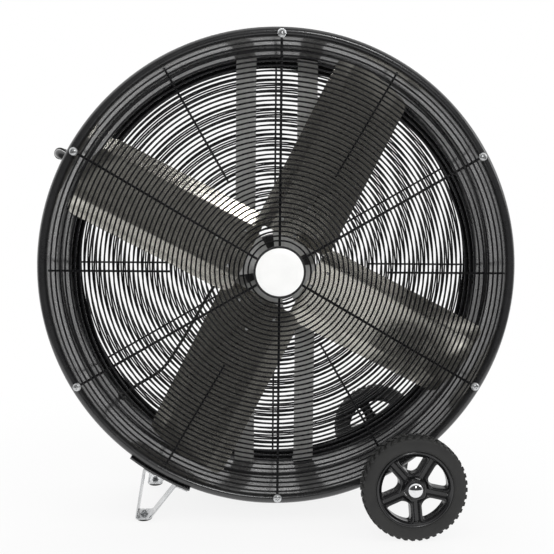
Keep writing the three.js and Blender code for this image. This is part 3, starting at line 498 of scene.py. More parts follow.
# ---- wire guards ----
guardLook = {
    "wire": 0.0023, "spoke": 0.0031, "shortSpoke": 0.0026, "pitch": 0.0111, "lastGap": 0.012, "first": 0.070,
    "hubRing": 0.046, "hubLap": 0.003, "spokeGap": 0.0003, "shortStart": 0.255, "firstSpoke": 30,
    "boltRadius": 0.546, "eye": 0.0085, "hookRadius": 0.5344, "hookEnd": 0.5495, "hookIn": 0.034, "hookBend": 0.006,
    "heavyRings": (0.5237, 0.5283, 0.5329, 0.5375, 0.5421), "heavyWire": 0.0024,
}
spokeY = halfDrum + guardLook["spokeGap"] + guardLook["spoke"]
wireY = spokeY + guardLook["spoke"] + guardLook["wire"] * 0.7
longSpokes = [guardLook["firstSpoke"] + 60 * i for i in range(6)]
shortSpokes = [60 * i for i in range(6)]


def addGuardRings(bm, face, look):
    last = wallRadius - look["lastGap"]
    count = 1 + math.floor((last - look["first"]) / look["pitch"])
    for radius in [look["hubRing"]] + [last - i * look["pitch"] for i in range(count)]:
        steps = max(40, int(radius * 260))
        addRing(bm, radius, face * wireY, look["wire"], steps)


def radialPoint(radius, degrees, y):
    angle = math.radians(degrees)
    return Vector((radius * math.cos(angle), y, radius * math.sin(angle)))


def addSpokes(bm, angles, reach, wire, y):
    # straight radial rods; reach is where they start and end
    for degrees in angles:
        start, end = (radialPoint(radius, degrees, y) for radius in reach)
        addRod(bm, start, end, wire, 10)


def finishGuard(bm, face, name, node, look):
    addSpokes(bm, shortSpokes, (look["shortStart"], wallRadius - look["lastGap"] / 2), look["shortSpoke"],
              face * spokeY)
    moveAll(tidied(bm), Matrix.Translation(axisPoint))
    makePiece(name, bm, "frame", "wire_paint", [node], sharpAngle=60)


def makeFrontGuard(look):
    bm = bmesh.new()
    addGuardRings(bm, -1, look)
    addSpokes(bm, longSpokes, (look["hubRing"] - look["hubLap"], look["boltRadius"] - look["eye"]), look["spoke"],
              -spokeY)
    for degrees in longSpokes:
        eye = bmesh.new()
        addRing(eye, look["eye"] - look["spoke"] / 2, 0, look["spoke"], 28, 10)
        addTo(bm, eye, Matrix.Translation(radialPoint(look["boltRadius"], degrees, -spokeY)))
    finishGuard(bm, -1, "frontGuardWires", "front_guard", look)


def makeBackGuard(look):
    bm = bmesh.new()
    addGuardRings(bm, 1, look)
    for radius in look["heavyRings"]:
        addRing(bm, radius, spokeY - look["spoke"] - look["heavyWire"], look["heavyWire"], 160, 8)
    hookY = halfDrum - look["hookIn"]
    for degrees in longSpokes:
        hook = [radialPoint(radius, degrees, y) for radius, y in
                ((look["hubRing"] - look["hubLap"], spokeY), (look["hookRadius"], spokeY),
                 (look["hookRadius"], hookY), (look["hookEnd"], hookY))]
        bar = tubeMesh(roundedPath(hook, look["hookBend"]), look["shortSpoke"], rounded=False, sides=3)
        addTo(bm, bar)
    finishGuard(bm, 1, "backGuardWires", "back_guard", look)


makeFrontGuard(guardLook)
makeBackGuard(guardLook)
print("guards made")


# ---- guard bolts: a washer and a domed head with a cross recess ----
guardBoltLook = {"head": 0.0094, "height": 0.0052, "washer": 0.0099, "washerThickness": 0.0012, "recess": 0.0042,
                 "headDepth": 0.007, "shank": 0.003}


def crossHead(head, height, recess):
    # a dome round the Y axis, its top towards -Y, with two crossed slots sunk in it
    bm = spunMesh([(0, 0), (head, 0)] + domePoints(head, height, 15), 24)
    for side in (-1, 1):
        for normal in (Vector((1, 0, 0)), Vector((0, 0, 1))):
            cut(bm, normal * side * recess / 4, normal, 0.00002)
    sunk = []
    for face in bm.faces:
        centre = face.calc_center_median()
        wide, narrow = max(abs(centre.x), abs(centre.z)), min(abs(centre.x), abs(centre.z))
        if centre.y < -height * 0.4 and narrow < recess / 4 and wide < recess:
            sunk.append(face)
    pushFaces(bm, sunk, (0, height * 0.45, 0))
    bmesh.ops.delete(bm, geom=sunk, context="FACES")
    return tidied(bm)


def makeGuardBolts(look):
    for i, degrees in enumerate(longSpokes):
        low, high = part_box(f"guard_bolt_{i + 1}")
        seat, front, shank = low.y + look["headDepth"], -look["washerThickness"], look["shank"]
        bm = crossHead(look["head"], look["height"], look["recess"])
        moveAll(bm, Matrix.Translation((0, front, 0)))
        spinProfile(bm, [(0, 0), (look["washer"], 0), (look["washer"], front), (0, front)], 28)
        spinProfile(bm, [(0, 0), (shank, 0), (shank, high.y - seat), (0, high.y - seat)], 12)
        middle = Vector(((low.x + high.x) / 2, seat, (low.z + high.z) / 2))
        moveAll(tidied(bm), Matrix.Translation(middle) @ turnedBy(degrees * 1.7))
        makePiece(f"guardBolt{i + 1}", bm, "frame", "zinc", [f"guard_bolt_{i + 1}"], sharpAngle=50)


makeGuardBolts(guardBoltLook)


# ---- medallion: a black dish with a bare white disc in it ----
def makeMedallion():
    low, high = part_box("badge_plate")
    radius, back, front = (high.x - low.x) / 2, high.y, low.y
    lip = 0.0052
    dish = [(0, back), (radius - 0.0015, back), (radius, back - 0.0015), (radius, front + 0.0012),
            (radius - 0.0012, front), (radius - lip + 0.0008, front), (radius - lip, front + 0.0008),
            (radius - lip, front + 0.0018), (0, front + 0.0018)]
    makePiece("medallionDish", spun(dish, 96), "frame", "drum_paint", ["badge_plate"])
    edge = radius - lip - 0.0002
    face = [(0, front + 0.0016), (edge, front + 0.0016), (edge, front + 0.0003), (edge - 0.0008, front - 0.0002),
            (edge * 0.7, front - 0.0006), (0, front - 0.0009)]
    makePiece("medallionDisc", spun(face, 96), "frame", "badge_white", ["badge_face"])


makeMedallion()
print("medallion and guard bolts made")


# ---- blades ----
bladeLook = {
    "first": 63.2, "count": 4, "root": 0.080, "tip": 0.527, "half": 0.103, "crease": 0.0645, "pitch": 25,
    "bend": 12, "soft": 0.004, "middle": -0.052, "thickness": 0.0016, "corner": 0.025, "cuts": 26, "cutStep": 0.03,
}
rivetLook = {"head": 0.0052, "height": 0.0026, "spots": ((0.093, 0), (0.167, 0), (0.114, 0.048), (0.114, -0.048))}


def softCrease(past, soft):
    # nothing before the crease, a straight slope after it, and a smooth bend between
    if past < -soft:
        return 0
    return past if past > soft else (past + soft) ** 2 / (4 * soft)


def bladeRise(across, look):
    slope, lead, trail = (math.tan(math.radians(look["pitch"] + turn)) for turn in (0, -look["bend"], look["bend"]))
    extra = softCrease(abs(across) - look["crease"], look["soft"])
    change = (lead - slope) if across < 0 else (slope - trail)
    return look["middle"] - across * slope + change * extra


def bladeMesh(look):
    bm = bmesh.new()
    half = look["half"]
    corners = [bm.verts.new((x, 0, z)) for x, z in
               ((look["root"], -half), (look["tip"], -half), (look["tip"], half), (look["root"], half))]
    bm.faces.new(corners)
    lines = [half * (2 * i / look["cuts"] - 1) for i in range(1, look["cuts"])]
    lines += [side * look["crease"] + step * look["soft"] / 2 for side in (-1, 1) for step in range(-2, 3)]
    for across in lines:
        cut(bm, (0, 0, across), (0, 0, 1))
    for vert in bm.verts:
        if vert.co.x > look["tip"] - 0.001:
            vert.co.x = math.sqrt(look["tip"] ** 2 - vert.co.z ** 2)
    for i in range(1, 15):
        cut(bm, (look["root"] + look["cutStep"] * i, 0, 0), (1, 0, 0))
    outer = [v for v in bm.verts if abs(abs(v.co.z) - half) < 0.0001 and len(v.link_edges) == 2]
    roundCorners(bm, outer, look["corner"])
    for vert in bm.verts:
        vert.co.y = bladeRise(vert.co.z, look)
    return bm


def roundCorners(bm, corners, radius):
    # trims each corner of the flat sheet by planes round its quarter circle
    for corner in [v.co.copy() for v in corners]:
        inward = Vector((-1 if corner.x > 0.3 else 1, 0, -1 if corner.z > 0 else 1))
        centre = corner + inward * radius
        for i in range(1, 8):
            angle = math.radians(90 * i / 8)
            normal = Vector((-inward.x * math.cos(angle), 0, -inward.z * math.sin(angle)))
            cut(bm, centre + normal * radius, normal, cleared=True)


def makeBlades(look, rivets):
    for i in range(look["count"]):
        degrees = look["first"] + i * 360 / look["count"]
        bm = moveAll(bladeMesh(look), onAxis(degrees))
        bmesh.ops.recalc_face_normals(bm, faces=bm.faces)
        makePiece(f"blade{i + 1}", bm, "impeller", "galvanised", [f"blade_{i + 1}"], sharpAngle=50,
                  thickness=look["thickness"], bevel=0.0004)
    bm = bmesh.new()
    slope = math.radians(look["pitch"])
    for i in range(look["count"]):
        for along, across in rivets["spots"]:
            dome = domePoints(rivets["head"], rivets["height"], 18)
            head = spunMesh([(0, 0.0002), (rivets["head"], 0.0002)] + dome, 14)
            place = Vector((along, bladeRise(across, look), across))
            lift = Matrix.Translation((0, -look["thickness"] / 2 / math.cos(slope), 0))
            moveAll(head, Matrix.Translation(place) @ Matrix.Rotation(-slope, 4, "X") @ lift)
            addTo(bm, head, onAxis(look["first"] + i * 360 / look["count"]))
    makePiece("bladeRivets", bm, "impeller", "zinc", sharpAngle=60)


makeBlades(bladeLook, rivetLook)
softened("bladeSpider", "blade_spider", "strap_steel", "impeller")
softened("hubSetScrew", "hub_set_screw", "zinc", "impeller", 0.0004)


def makeHub():
    low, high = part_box("hub")
    face = high.y - 0.0345
    profile = [(0.0083, low.y + 0.001), (0.0093, low.y), (0.0145, low.y), (0.015, low.y + 0.0008), (0.015, face),
               (0.041, face), (0.042, face + 0.001), (0.042, face + 0.0042), (0.0405, face + 0.005),
               (0.028, face + 0.0055), (0.0245, face + 0.008), (0.024, face + 0.010), (0.024, high.y - 0.0015),
               (0.0225, high.y), (0.0095, high.y), (0.0083, high.y - 0.001)]
    makePiece("hubCasting", spun(profile, 64, closed=True), "impeller", "strap_steel", ["hub"])
    shaftLow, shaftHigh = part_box("motor_shaft")
    radius = (shaftHigh.x - shaftLow.x) / 2
    shaft = [(0, shaftLow.y), (radius - 0.001, shaftLow.y), (radius, shaftLow.y + 0.001), (radius, shaftHigh.y),
             (0, shaftHigh.y)]
    makePiece("shaft", spun(shaft, 40), "impeller", "zinc", ["motor_shaft"])


makeHub()
print("impeller made")


# ---- motor ----
motorLook = {"radius": 0.084, "bell": 0.016, "slots": 12, "slotDepth": 0.004, "boltCircle": 0.079, "boltHead": 0.0045}


def bellMesh(low, high, inward, look):
    # inward is +1 for the front bell and -1 for the back one
    face = low if inward > 0 else high
    radius = look["radius"]

    def at(distance):
        return face + inward * distance
    profile = [(0.0105, at(0.002)), (0.0105, at(0)), (0.024, at(0)), (0.026, at(0.0015)), (0.042, at(0.0015)),
               (0.046, at(0.0022)), (0.072, at(0.0045)), (0.0785, at(0.0065)), (0.0825, at(0.0105)),
               (radius, at(0.0135)), (radius, at(look["bell"])), (radius - 0.011, at(look["bell"]))]
    bm = spunMesh(profile, look["slots"] * 5)
    slotted = []
    for part in bm.faces:
        centre = part.calc_center_median()
        distance = math.hypot(centre.x, centre.z)
        step = math.degrees(math.atan2(centre.z, centre.x)) % (360 / look["slots"])
        if 0.046 < distance < 0.072 and step < 0.6 * 360 / look["slots"]:
            slotted.append(part)
    bmesh.ops.inset_region(bm, faces=slotted, thickness=0.0022, use_even_offset=True)
    pushFaces(bm, slotted, (0, inward * look["slotDepth"], 0))
    bmesh.ops.delete(bm, geom=slotted, context="FACES")
    return moveAll(tidied(bm), Matrix.Translation(axisPoint))


def makeMotor(look):
    for node, name, inward in (("motor_front_bell", "motorFrontBell", 1), ("motor_back_bell", "motorBackBell", -1)):
        low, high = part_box(node)
        makePiece(name, bellMesh(low.y, high.y, inward, look), "frame", "motor_paint", [node], sharpAngle=40)
    low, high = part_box("motor_shell")
    radius, seam = look["radius"], 0.0008
    shell = [(radius - 0.004, low.y), (radius - seam, low.y), (radius, low.y + seam), (radius, low.y + 0.006),
             (radius - seam, low.y + 0.007), (radius - seam, high.y - 0.007), (radius, high.y - 0.006),
             (radius, high.y - seam), (radius - seam, high.y), (radius - 0.004, high.y)]
    makePiece("motorShell", spun(shell, 96, closed=True), "frame", "motor_paint", ["motor_shell"], sharpAngle=40)
    screws = bmesh.new()
    frontLow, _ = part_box("motor_front_bell")
    for i in range(4):
        place = radialPoint(look["boltCircle"] - 0.006, 45 + 90 * i, frontLow.y + 0.0045)
        addRod(screws, place, place + Vector((0, -0.004, 0)), look["boltHead"], 6)
    moveAll(screws, Matrix.Translation(axisPoint))
    makePiece("motorThroughBolts", screws, "frame", "zinc", bevel=0.0004)
    softened("terminalBox", "motor_terminal_box", "motor_paint", width=0.0025)
    for name, node in (("motorPlate", "motor_plate"), ("motorStrapLeft", "motor_strap_left"),
                       ("motorStrapRight", "motor_strap_right")):
        softened(name, node, "strap_steel", width=0.0006)


makeMotor(motorLook)


# ---- bolts through the wall that hold the straps: hexagon heads on washers ----
def makeStrapBolts():
    for i in range(4):
        node = f"strap_bolt_{i + 1}"
        low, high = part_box(node)
        middle = (low + high) / 2
        outward = Vector((middle.x, 0, middle.z - axisHeight)).normalized()
        head = axisPoint + Vector((0, middle.y, 0)) + outward * (wallRadius + 0.0020)
        bm = bmesh.new()
        for start, end, radius, sides in ((0, 0.0012, 0.0095, 24), (0.0012, 0.0055, 0.0072, 6),
                                          (-0.0125, 0, 0.004, 14), (-0.0115, -0.0073, 0.0072, 6)):
            addRod(bm, head + outward * start, head + outward * end, radius, sides)
        makePiece(f"strapBolt{i + 1}", bm, "frame", "zinc", [node], bevel=0.0005)


makeStrapBolts()
print("motor and straps made")


# ---- wheels, made round the origin with the outer side towards -Y ----
tyreLook = {"radius": 0.122, "bead": 0.0883, "half": 0.021, "tread": 0.1182, "lugs": 44, "lugLength": 0.0098,
            "lugWidth": 0.0185, "slant": 24}
wheelLook = {
    "rim": 0.0880, "rimInner": 0.0795, "half": 0.018, "spokes": 5, "firstSpoke": 60, "wall": 0.0024,
    "windowMiddle": 0.058, "hub": 0.0245, "hubGrowth": 0.80, "rimGrowth": 0.2, "loopPoints": 72, "corner": 0.0050,
    "steps": ((0.0002, -0.0090), (0.0040, -0.0092), (0.0062, -0.0125), (0.0078, -0.0166), (0.0094, -0.0176),
              (0.0110, -0.0172), (0.0124, -0.0150), (0.0130, -0.0040), (0.0140, 0.0080)),
    "boss": 0.0290, "bossFront": 0.0215, "bossCorner": 0.006, "bossLip": 0.0020, "bossSink": 0.0016,
}
capLook = {"radius": 0.0188, "height": 0.0130, "seat": -0.0195, "band": 0.0012}


def tyreMesh(look):
    half, radius, tread = look["half"], look["radius"], look["tread"]
    side = [(look["bead"], half - 0.004), (0.0895, half - 0.0018), (0.0910, half - 0.0010), (0.0925, half - 0.0018),
            (0.0960, half - 0.0006), (0.1030, half), (0.1110, half - 0.0002), (0.1150, half - 0.0012),
            (tread - 0.0008, half - 0.0034), (tread, half - 0.0060)]
    profile = [(r, -y) for r, y in side] + list(reversed(side))
    bm = spunMesh(profile, 132, closed=True)
    step = 360 / look["lugs"]
    for i in range(look["lugs"]):
        for row in (-1, 1):
            degrees = (i + (0.25 if row > 0 else -0.25)) * step
            place = turnedBy(degrees) @ Matrix.Translation((tread, row * 0.0098, 0))
            slant = Matrix.Rotation(math.radians(row * look["slant"]), 4, "X")
            made = addBlock(bm, (radius - tread + 0.004, look["lugWidth"], look["lugLength"]), place @ slant)
            for vert in made:
                flat = turnedBy(-degrees) @ vert.co
                flat.y = max(-half + 0.0012, min(half - 0.0012, flat.y))
                if flat.x > tread + 0.001:
                    flat.x = math.sqrt(radius ** 2 - flat.z ** 2) - 0.0016 * (abs(flat.y) / half) ** 4
                vert.co = turnedBy(degrees) @ flat
            softenEdges(bm, made, 0.0009, 1)
    return bm


def windowLoop(bm, inset, y, look):
    # a closed line round a window's middle: two spokes' sides, the hub and the rim, with soft corners
    middle = look["windowMiddle"]
    half = math.radians(180 / look["spokes"])
    hub, rim = look["hub"] + inset * look["hubGrowth"], look["rimInner"] + 0.001 - inset * look["rimGrowth"]
    soft = min(look["corner"], 0.0001 + inset * 0.36)
    loop = bmesh.ops.create_circle(bm, cap_ends=False, segments=look["loopPoints"], radius=1)["verts"]
    for vert in loop:
        along, across = vert.co.x, vert.co.y
        reach = [-middle * along + math.sqrt(rim ** 2 - (middle * across) ** 2)]
        beside = hub ** 2 - (middle * across) ** 2
        if along < 0 and beside > 0:
            reach.append(-middle * along - math.sqrt(beside))
        for side in (-1, 1):
            facing = side * across * math.cos(half) - along * math.sin(half)
            if facing > 0:
                reach.append((middle * math.sin(half) - inset) / facing)
        near = min(reach)
        distance = near - soft * math.log(sum(math.exp(-(value - near) / soft) for value in reach))
        vert.co = (middle + distance * along, y, distance * across)
    return edgesOf(loop)


def wheelMesh(look):
    half, rim, rimInner = look["half"], look["rim"], look["rimInner"]
    profile = [(rim, -half - 0.0012), (rim - 0.002, -half - 0.0022), (rim - 0.0045, -half - 0.0010),
               (rimInner + 0.001, -half + 0.0035), (rimInner - 0.001, -half + 0.006), (rimInner + 0.0012, -0.002),
               (rimInner + 0.0032, half - 0.005), (rim - 0.003, half + 0.001), (rim, half + 0.001)]
    bm = spunMesh(profile, 120, closed=True)
    web = bmesh.new()
    for i in range(look["spokes"]):
        sector = bmesh.new()
        loops = [windowLoop(sector, inset, y, look) for inset, y in look["steps"]]
        for first, second in zip(loops, loops[1:]):
            bmesh.ops.bridge_loops(sector, edges=first + second)
        addTo(web, sector, turnedBy(look["firstSpoke"] + (i + 0.5) * 360 / look["spokes"]))
    bmesh.ops.remove_doubles(web, verts=web.verts, dist=0.0005)
    bmesh.ops.recalc_face_normals(web, faces=web.faces)
    if sum(face.normal.y * face.calc_area() for face in web.faces) > 0:
        bmesh.ops.reverse_faces(web, faces=web.faces)
    bmesh.ops.solidify(web, geom=web.faces[:], thickness=look["wall"])
    addTo(bm, web)
    spinProfile(bm, [(0.0083, half), (0.019, half), (0.0205, half - 0.0015), (0.0212, -half + 0.006),
                     (0.0083, -half + 0.006)], 48, closed=True)
    addTo(bm, bossMesh(look))
    return bm


def bossMesh(look):
    # a low pentagon with rounded corners and a sunk middle, one flat side up
    boss = bmesh.new()
    bmesh.ops.create_circle(boss, cap_ends=True, segments=look["spokes"], radius=look["boss"],
                            matrix=turned(90, "X") @ turned(90, "Z"))
    bmesh.ops.bevel(boss, geom=boss.verts[:], offset=look["bossCorner"], segments=6, profile=0.5, affect="VERTICES",
                    material=-1)
    pushFaces(boss, boss.faces[:], (0, -look["bossFront"], 0))
    bmesh.ops.recalc_face_normals(boss, faces=boss.faces)
    crown = [face for face in boss.faces if face.calc_center_median().y < 0.001 - look["bossFront"]]
    bmesh.ops.inset_region(boss, faces=crown, thickness=0.0012, depth=0.0010)
    bmesh.ops.inset_region(boss, faces=crown, thickness=look["bossLip"])
    bmesh.ops.inset_region(boss, faces=crown, thickness=0.0012, depth=-look["bossSink"])
    return boss


def capMesh(look):
    radius, seat, band = look["radius"], look["seat"], look["band"]
    dome = [(r, seat - band + y) for r, y in domePoints(radius, look["height"] - band, 9)]
    return spunMesh([(0, seat), (radius, seat)] + dome, 56)


def makeWheels():
    for end, face in (("front", -1), ("back", 1)):
        low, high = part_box(f"{end}_wheel_tyre")
        place = Matrix.Translation((low + high) / 2)
        if face > 0:
            place = place @ turned(180, "Z")
        body = f"{end}_wheel_body"
        makePiece(f"{end}Tyre", moveAll(tyreMesh(tyreLook), place), body, "tyre_rubber", [f"{end}_wheel_tyre"])
        makePiece(f"{end}Wheel", moveAll(wheelMesh(wheelLook), place), body, "black_plastic", [f"{end}_wheel"],
                  sharpAngle=40)
        makePiece(f"{end}AxleCap", moveAll(capMesh(capLook), place), "frame", "chrome", [f"{end}_axle_cap"])


def makeAxle():
    low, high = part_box("axle")
    middle = (low + high) / 2
    radius, collar, inner = 0.008, 0.011, halfDrum + 0.004
    tyreLow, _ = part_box("back_wheel_tyre")
    reach = tyreLow.y + 0.0025
    profile = [(0, low.y), (radius - 0.001, low.y), (radius, low.y + 0.001)]
    for side in (-1, 1):
        ends = sorted((side * inner, side * reach))
        profile += [(radius, ends[0]), (collar, ends[0]), (collar, ends[1]), (radius, ends[1])]
    profile += [(radius, high.y - 0.001), (radius - 0.001, high.y), (0, high.y)]
    bm = spun(profile, 40, at=Vector((middle.x, 0, middle.z)))
    makePiece("axleBar", bm, "frame", "zinc", ["axle"])
    for end in ("front", "back"):
        softened(f"{end}AxleBracket", f"{end}_axle_bracket", "drum_paint")


makeWheels()
makeAxle()
print("wheels made")


# ---- legs: bent strips with their feet, bolts and washers ----
legLook = {"thickness": 0.003, "tab": 0.5721, "outerTab": (239, 236), "innerTab": (244.8, 247.8), "soleHalf": 0.017,
           "bend": 0.005}


def makeLegs(look):
    softened("legSaddle", "leg_saddle", "drum_paint", width=0.001)
    for end in ("front", "back"):
        low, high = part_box(f"{end}_leg")
        footLow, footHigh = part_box(f"{end}_foot")
        footX, y = (footLow.x + footHigh.x) / 2, (low.y + high.y) / 2
        sole = footHigh.z + 0.0003 + look["thickness"] / 2
        tabs = [radialPoint(look["tab"], degrees, 0) + axisPoint for degrees in look["outerTab"] + look["innerTab"]]
        corners = [tabs[0], tabs[1], Vector((footX - look["soleHalf"], 0, sole)),
                   Vector((footX + look["soleHalf"], 0, sole)), tabs[2], tabs[3]]
        path = roundedPath([(c.x, low.y, c.z) for c in corners], look["bend"], 4)
        bm = bmesh.new()
        line = [bm.verts.new(point) for point in path]
        edges = [bm.edges.new(pair) for pair in zip(line, line[1:])]
        strip = bmesh.ops.extrude_edge_only(bm, edges=edges)["geom"]
        bmesh.ops.translate(bm, vec=(0, high.y - low.y, 0), verts=vertsOf(strip))
        bmesh.ops.recalc_face_normals(bm, faces=bm.faces)
        makePiece(f"{end}Leg", bm, "frame", "zinc", [f"{end}_leg"], thickness=look["thickness"], bevel=0.0006,
                  sharpAngle=60)
        foot, tall = (footHigh.x - footLow.x) / 2, footHigh.z
        profile = [(0, 0), (foot - 0.0015, 0), (foot - 0.0002, 0.0013), (foot, 0.0025), (foot - 0.0004, 0.0045),
                   (foot - 0.0018, tall - 0.0012), (foot - 0.0030, tall), (0, tall)]
        upright = Matrix.Translation((footX, y, 0)) @ turned(90, "X")
        makePiece(f"{end}Foot", moveAll(spunMesh(profile, 40), upright), "frame", "foot_rubber", [f"{end}_foot"])
        bm = bmesh.new()
        top = tall + look["thickness"] + 0.0006
        for start, stop, radius, sides in ((0.004, top + 0.009, 0.004, 14), (top, top + 0.0012, 0.0095, 24),
                                           (top + 0.0012, top + 0.0065, 0.0075, 6)):
            addRod(bm, (footX, y, start), (footX, y, stop), radius, sides)
        makePiece(f"{end}FootBolt", bm, "frame", "zinc", [f"{end}_foot_bolt"], bevel=0.0004)


makeLegs(legLook)
print("legs made")


# ---- handle: a bent tube with a ribbed grip, held by bolts through the wall ----
handleLook = {"degrees": 152.3, "radius": 0.588, "half": 0.108, "tube": 0.0105, "bend": 0.026, "grip": 0.014,
              "gripHalf": 0.080, "ribs": 18, "foot": 0.5432}


def makeHandle(look):
    foot, run, half = look["foot"], look["radius"], look["half"]
    path = roundedPath([(foot, -half, 0), (run, -half, 0), (run, half, 0), (foot, half, 0)], look["bend"], 8)
    bm = moveAll(tubeMesh(path, look["tube"], rounded=False, sides=7), onAxis(look["degrees"]))
    makePiece("handleTube", bm, "frame", "drum_paint", ["handle_bar"], sharpAngle=60)
    end, tube, grip = look["gripHalf"], look["tube"] + 0.0002, look["grip"]
    step = 2 * (end - 0.006) / look["ribs"]
    profile = [(tube, -end), (grip - 0.0015, -end), (grip, -end + 0.0015)]
    for i in range(look["ribs"]):
        start = -end + 0.006 + i * step
        profile += [(grip, start), (grip - 0.0010, start + step * 0.25), (grip - 0.0010, start + step * 0.6),
                    (grip, start + step * 0.85)]
    profile += [(grip, end - 0.0015), (grip - 0.0015, end), (tube, end)]
    bm = spunMesh(profile, 36, closed=True)
    moveAll(bm, onAxis(look["degrees"]) @ Matrix.Translation((run, 0, 0)))
    makePiece("handleGrip", bm, "frame", "foot_rubber", ["handle_grip"])
    for end in ("front", "back"):
        softened(f"{end}HandleBolt", f"{end}_handle_bolt", "zinc", width=0.0005)


makeHandle(handleLook)


# ---- switch box, knob, gland, grommet and the motor's lead ----
switchLook = {"degrees": 221, "y": 0.082, "foot": 0.5429, "depth": 0.034, "width": 0.064, "length": 0.060,
              "lid": 0.006, "screw": 0.0030, "knob": 0.017, "knobHeight": 0.015, "gland": 0.0085,
              "glandLength": 0.020, "glandNut": 0.0055}


def makeSwitch(look):
    place = onAxis(look["degrees"])
    top = look["foot"] + look["depth"]
    bm = bmesh.new()
    base = look["foot"] - 0.0005
    seam = top - look["lid"]
    addBlock(bm, (seam - base, look["length"], look["width"]),
             Matrix.Translation(((base + seam) / 2, look["y"], 0)), 0.004, 4)
    addBlock(bm, (look["lid"] + 0.0006, look["length"], look["width"]),
             Matrix.Translation((top - 0.0033, look["y"], 0)), 0.0026, 4)
    for side in (-1, 1):
        for end in (-1, 1):
            spot = Vector((top - 0.0006, look["y"] + end * 0.0245, side * 0.0265))
            addRod(bm, spot, spot + Vector((0.0008, 0, 0)), look["screw"], 16)
    makePiece("switchBox", moveAll(bm, place), "frame", "black_plastic", ["switch_box"], bevel=0)
    skirt, height = look["knob"], look["knobHeight"]
    profile = [(0, 0.0003), (skirt - 0.0006, 0.0003), (skirt, 0.0010), (skirt - 0.0006, 0.0042),
               (skirt - 0.0024, 0.0053), (0, 0.0060)]
    bm = moveAll(spunMesh(profile, 48), turned(-90, "Z"))
    addBlock(bm, (height - 0.0045, 2 * skirt - 0.0050, 0.0092),
             Matrix.Translation((0.0045 + (height - 0.0045) / 2, 0, 0)), 0.0020, 3)
    addRod(bm, (height - 0.0001, skirt * 0.72, 0), (height + 0.0003, skirt * 0.72, 0), 0.0014, 14)
    moveAll(bm, place @ Matrix.Translation((top, look["y"], 0)))
    makePiece("speedKnob", bm, "knob", "black_plastic", ["speed_knob"])
    bm = bmesh.new()
    gland, run, end = look["gland"], look["foot"] + look["depth"] / 2, look["y"] - look["length"] / 2
    nut, collar, tip = end - look["glandNut"], end - look["glandLength"] * 0.8, end - look["glandLength"]
    addRod(bm, (run, end, 0), (run, nut, 0), gland, 6)
    addRod(bm, (run, nut, 0), (run, collar, 0), gland * 0.86, 24)
    for i in range(12):
        spot = Matrix.Translation((run, end - 0.0110, 0)) @ turned(30 * i, "Y")
        addBlock(bm, (0.0014, 0.0085, 0.0014), spot @ Matrix.Translation((gland * 0.86, 0, 0)))
    addRod(bm, (run, collar, 0), (run, tip, 0), gland * 0.80, 24, gland * 0.55)
    makePiece("inletGland", moveAll(bm, place), "frame", "black_plastic", ["inlet_gland"], bevel=0.0004)


leadLook = {"radius": 0.004, "route": (
    (-0.1083, 0.0233, -0.0128), (-0.1223, 0.0233, -0.0128), (-0.146, 0.052, -0.032), (-0.172, 0.080, -0.072),
    (-0.195, 0.090, -0.112), (-0.217, 0.094, -0.153), (-0.242, 0.094, -0.196), (-0.268, 0.092, -0.238),
    (-0.292, 0.088, -0.276), (-0.325, 0.084, -0.302))}


def makeLead(look):
    degrees, y = switchLook["degrees"], switchLook["y"]
    ends = [radialPoint(wallRadius + past, degrees, y) for past in (-0.041, 0.012)]
    path = [Vector(point) + axisPoint for point in look["route"]] + [point + axisPoint for point in ends]
    bm = tubeMesh(path, look["radius"], sides=3)
    makePiece("motorLead", bm, "frame", "foot_rubber", ["motor_lead"], sharpAngle=60)
    profile = [(0.0049, -0.003), (0.0105, -0.003), (0.011, -0.0022), (0.011, 0), (0.008, 0.0003), (0.008, 0.003),
               (0.0049, 0.003)]
    outward = onAxis(degrees) @ Matrix.Translation((wallRadius - 0.0022, y, 0)) @ turned(-90, "Z")
    bm = moveAll(spunMesh(profile, 32, closed=True), outward)
    makePiece("leadGrommet", bm, "frame", "foot_rubber", ["lead_grommet"])


makeSwitch(switchLook)
makeLead(leadLook)
print("handle, switch and lead made")

# what is left of the CAD nodes keeps its shape and gets its finish
slotOfNode = {row["node"]: row["material_slot"] for row in frame["record"]["subparts"]}
for name, node in nodes.items():
    node.data.materials.clear()
    node.data.materials.append(finishOfSlot[slotOfNode[name]])


# ---- floor, world and lamps ----
stageLook = {
    "floor": (0.86, 0.86, 0.86), "floorRadius": 1.7, "shadowShare": 0.15, "fadeStart": 0.7, "fadeEnd": 1.5,
    "lamps": (
        {"name": "keyLamp", "place": (0.6, -3.4, 1.9), "size": 0.7, "power": 16},
        {"name": "sideLamp", "place": (3.4, -1.2, 2.2), "size": 1.6, "power": 14},
        {"name": "backLamp", "place": (0.4, 3.0, 2.6), "size": 2.6, "power": 26},
    ),
    "world": 1.0, "frontOfRoom": 0.06, "roomFade": (-0.38, 0.12), "ceilingShare": 0.5,
}


class StageFinish(NodeTree):
    # the nodes of the floor's and the world's looks
    def __init__(self, tree, output):
        super().__init__(tree)
        self.output = self.add(output)

    def calculate(self, operation, first, second):
        node = self.add("Math", {0: first, 1: second})
        node.operation = operation
        return node.outputs["Value"]

    def mixed(self, share, first, second):
        return self.add("MixShader", {"Fac": share, 1: first, 2: second}).outputs["Shader"]


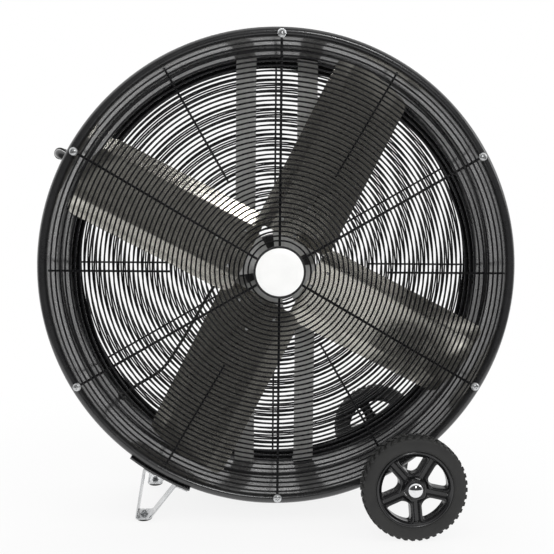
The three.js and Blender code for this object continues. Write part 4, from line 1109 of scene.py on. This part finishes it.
def makeFloor(look):
    # faintly shaded under the fan; further out, and in reflections, it is as white as the world
    bm = bmesh.new()
    bmesh.ops.create_circle(bm, cap_ends=True, segments=96, radius=look["floorRadius"])
    mesh = bpy.data.meshes.new("floor")
    bm.to_mesh(mesh)
    bm.free()
    floor = bpy.data.objects.new("floor", mesh)
    scene.collection.objects.link(floor)
    material = bpy.data.materials.new("paleFloor")
    material.use_nodes = True
    stage = StageFinish(material.node_tree, "OutputMaterial")
    pale = stage.add("BsdfDiffuse", {"Color": (*look["floor"], 1)}).outputs["BSDF"]
    white = stage.add("Emission", {"Color": (1, 1, 1, 1), "Strength": 1}).outputs["Emission"]
    distance = stage.add("VectorMath")
    distance.operation = "LENGTH"
    stage.link(stage.add("TexCoord").outputs["Object"], distance.inputs[0])
    share = stage.fade(distance.outputs["Value"], look["fadeStart"], look["fadeEnd"], 1 - look["shadowShare"], 1)
    rays = stage.add("LightPath")
    seen = stage.calculate("MULTIPLY", rays.outputs["Is Camera Ray"], share)
    seen = stage.calculate("MAXIMUM", seen, rays.outputs["Is Glossy Ray"])
    stage.link(stage.mixed(seen, pale, white), stage.output.inputs["Surface"])
    mesh.materials.append(material)


def makeWorld(look):
    # white to the camera; in reflections it is white behind and beside the fan and dim in front of it
    world = bpy.data.worlds.new("studio")
    scene.world = world
    world.use_nodes = True
    stage = StageFinish(world.node_tree, "OutputWorld")
    soft, white, room = (stage.add("Background", {"Color": (1, 1, 1, 1), "Strength": strength})
                         for strength in (look["world"], 1, 1))
    split = stage.add("SeparateXYZ", {"Vector": stage.add("TexCoord").outputs["Generated"]})
    height = stage.calculate("MULTIPLY", split.outputs["Z"], look["ceilingShare"])
    towards = stage.calculate("ADD", split.outputs["Y"], height)
    stage.link(stage.fade(towards, *look["roomFade"], look["frontOfRoom"], 1), room.inputs["Strength"])
    rays = stage.add("LightPath")
    shiny = stage.mixed(rays.outputs["Is Glossy Ray"], soft.outputs["Background"], room.outputs["Background"])
    stage.link(stage.mixed(rays.outputs["Is Camera Ray"], shiny, white.outputs["Background"]),
               stage.output.inputs["Surface"])


def makeLamps(look):
    for lamp in look["lamps"]:
        data = bpy.data.lights.new(lamp["name"], "AREA")
        data.shape = "DISK"
        data.size = lamp["size"]
        data.energy = lamp["power"]
        light = bpy.data.objects.new(lamp["name"], data)
        light.location = lamp["place"]
        aim = axisPoint - Vector(lamp["place"])
        light.rotation_euler = aim.to_track_quat("-Z", "Y").to_euler()
        scene.collection.objects.link(light)


makeFloor(stageLook)
makeWorld(stageLook)
makeLamps(stageLook)
print("stage lit")
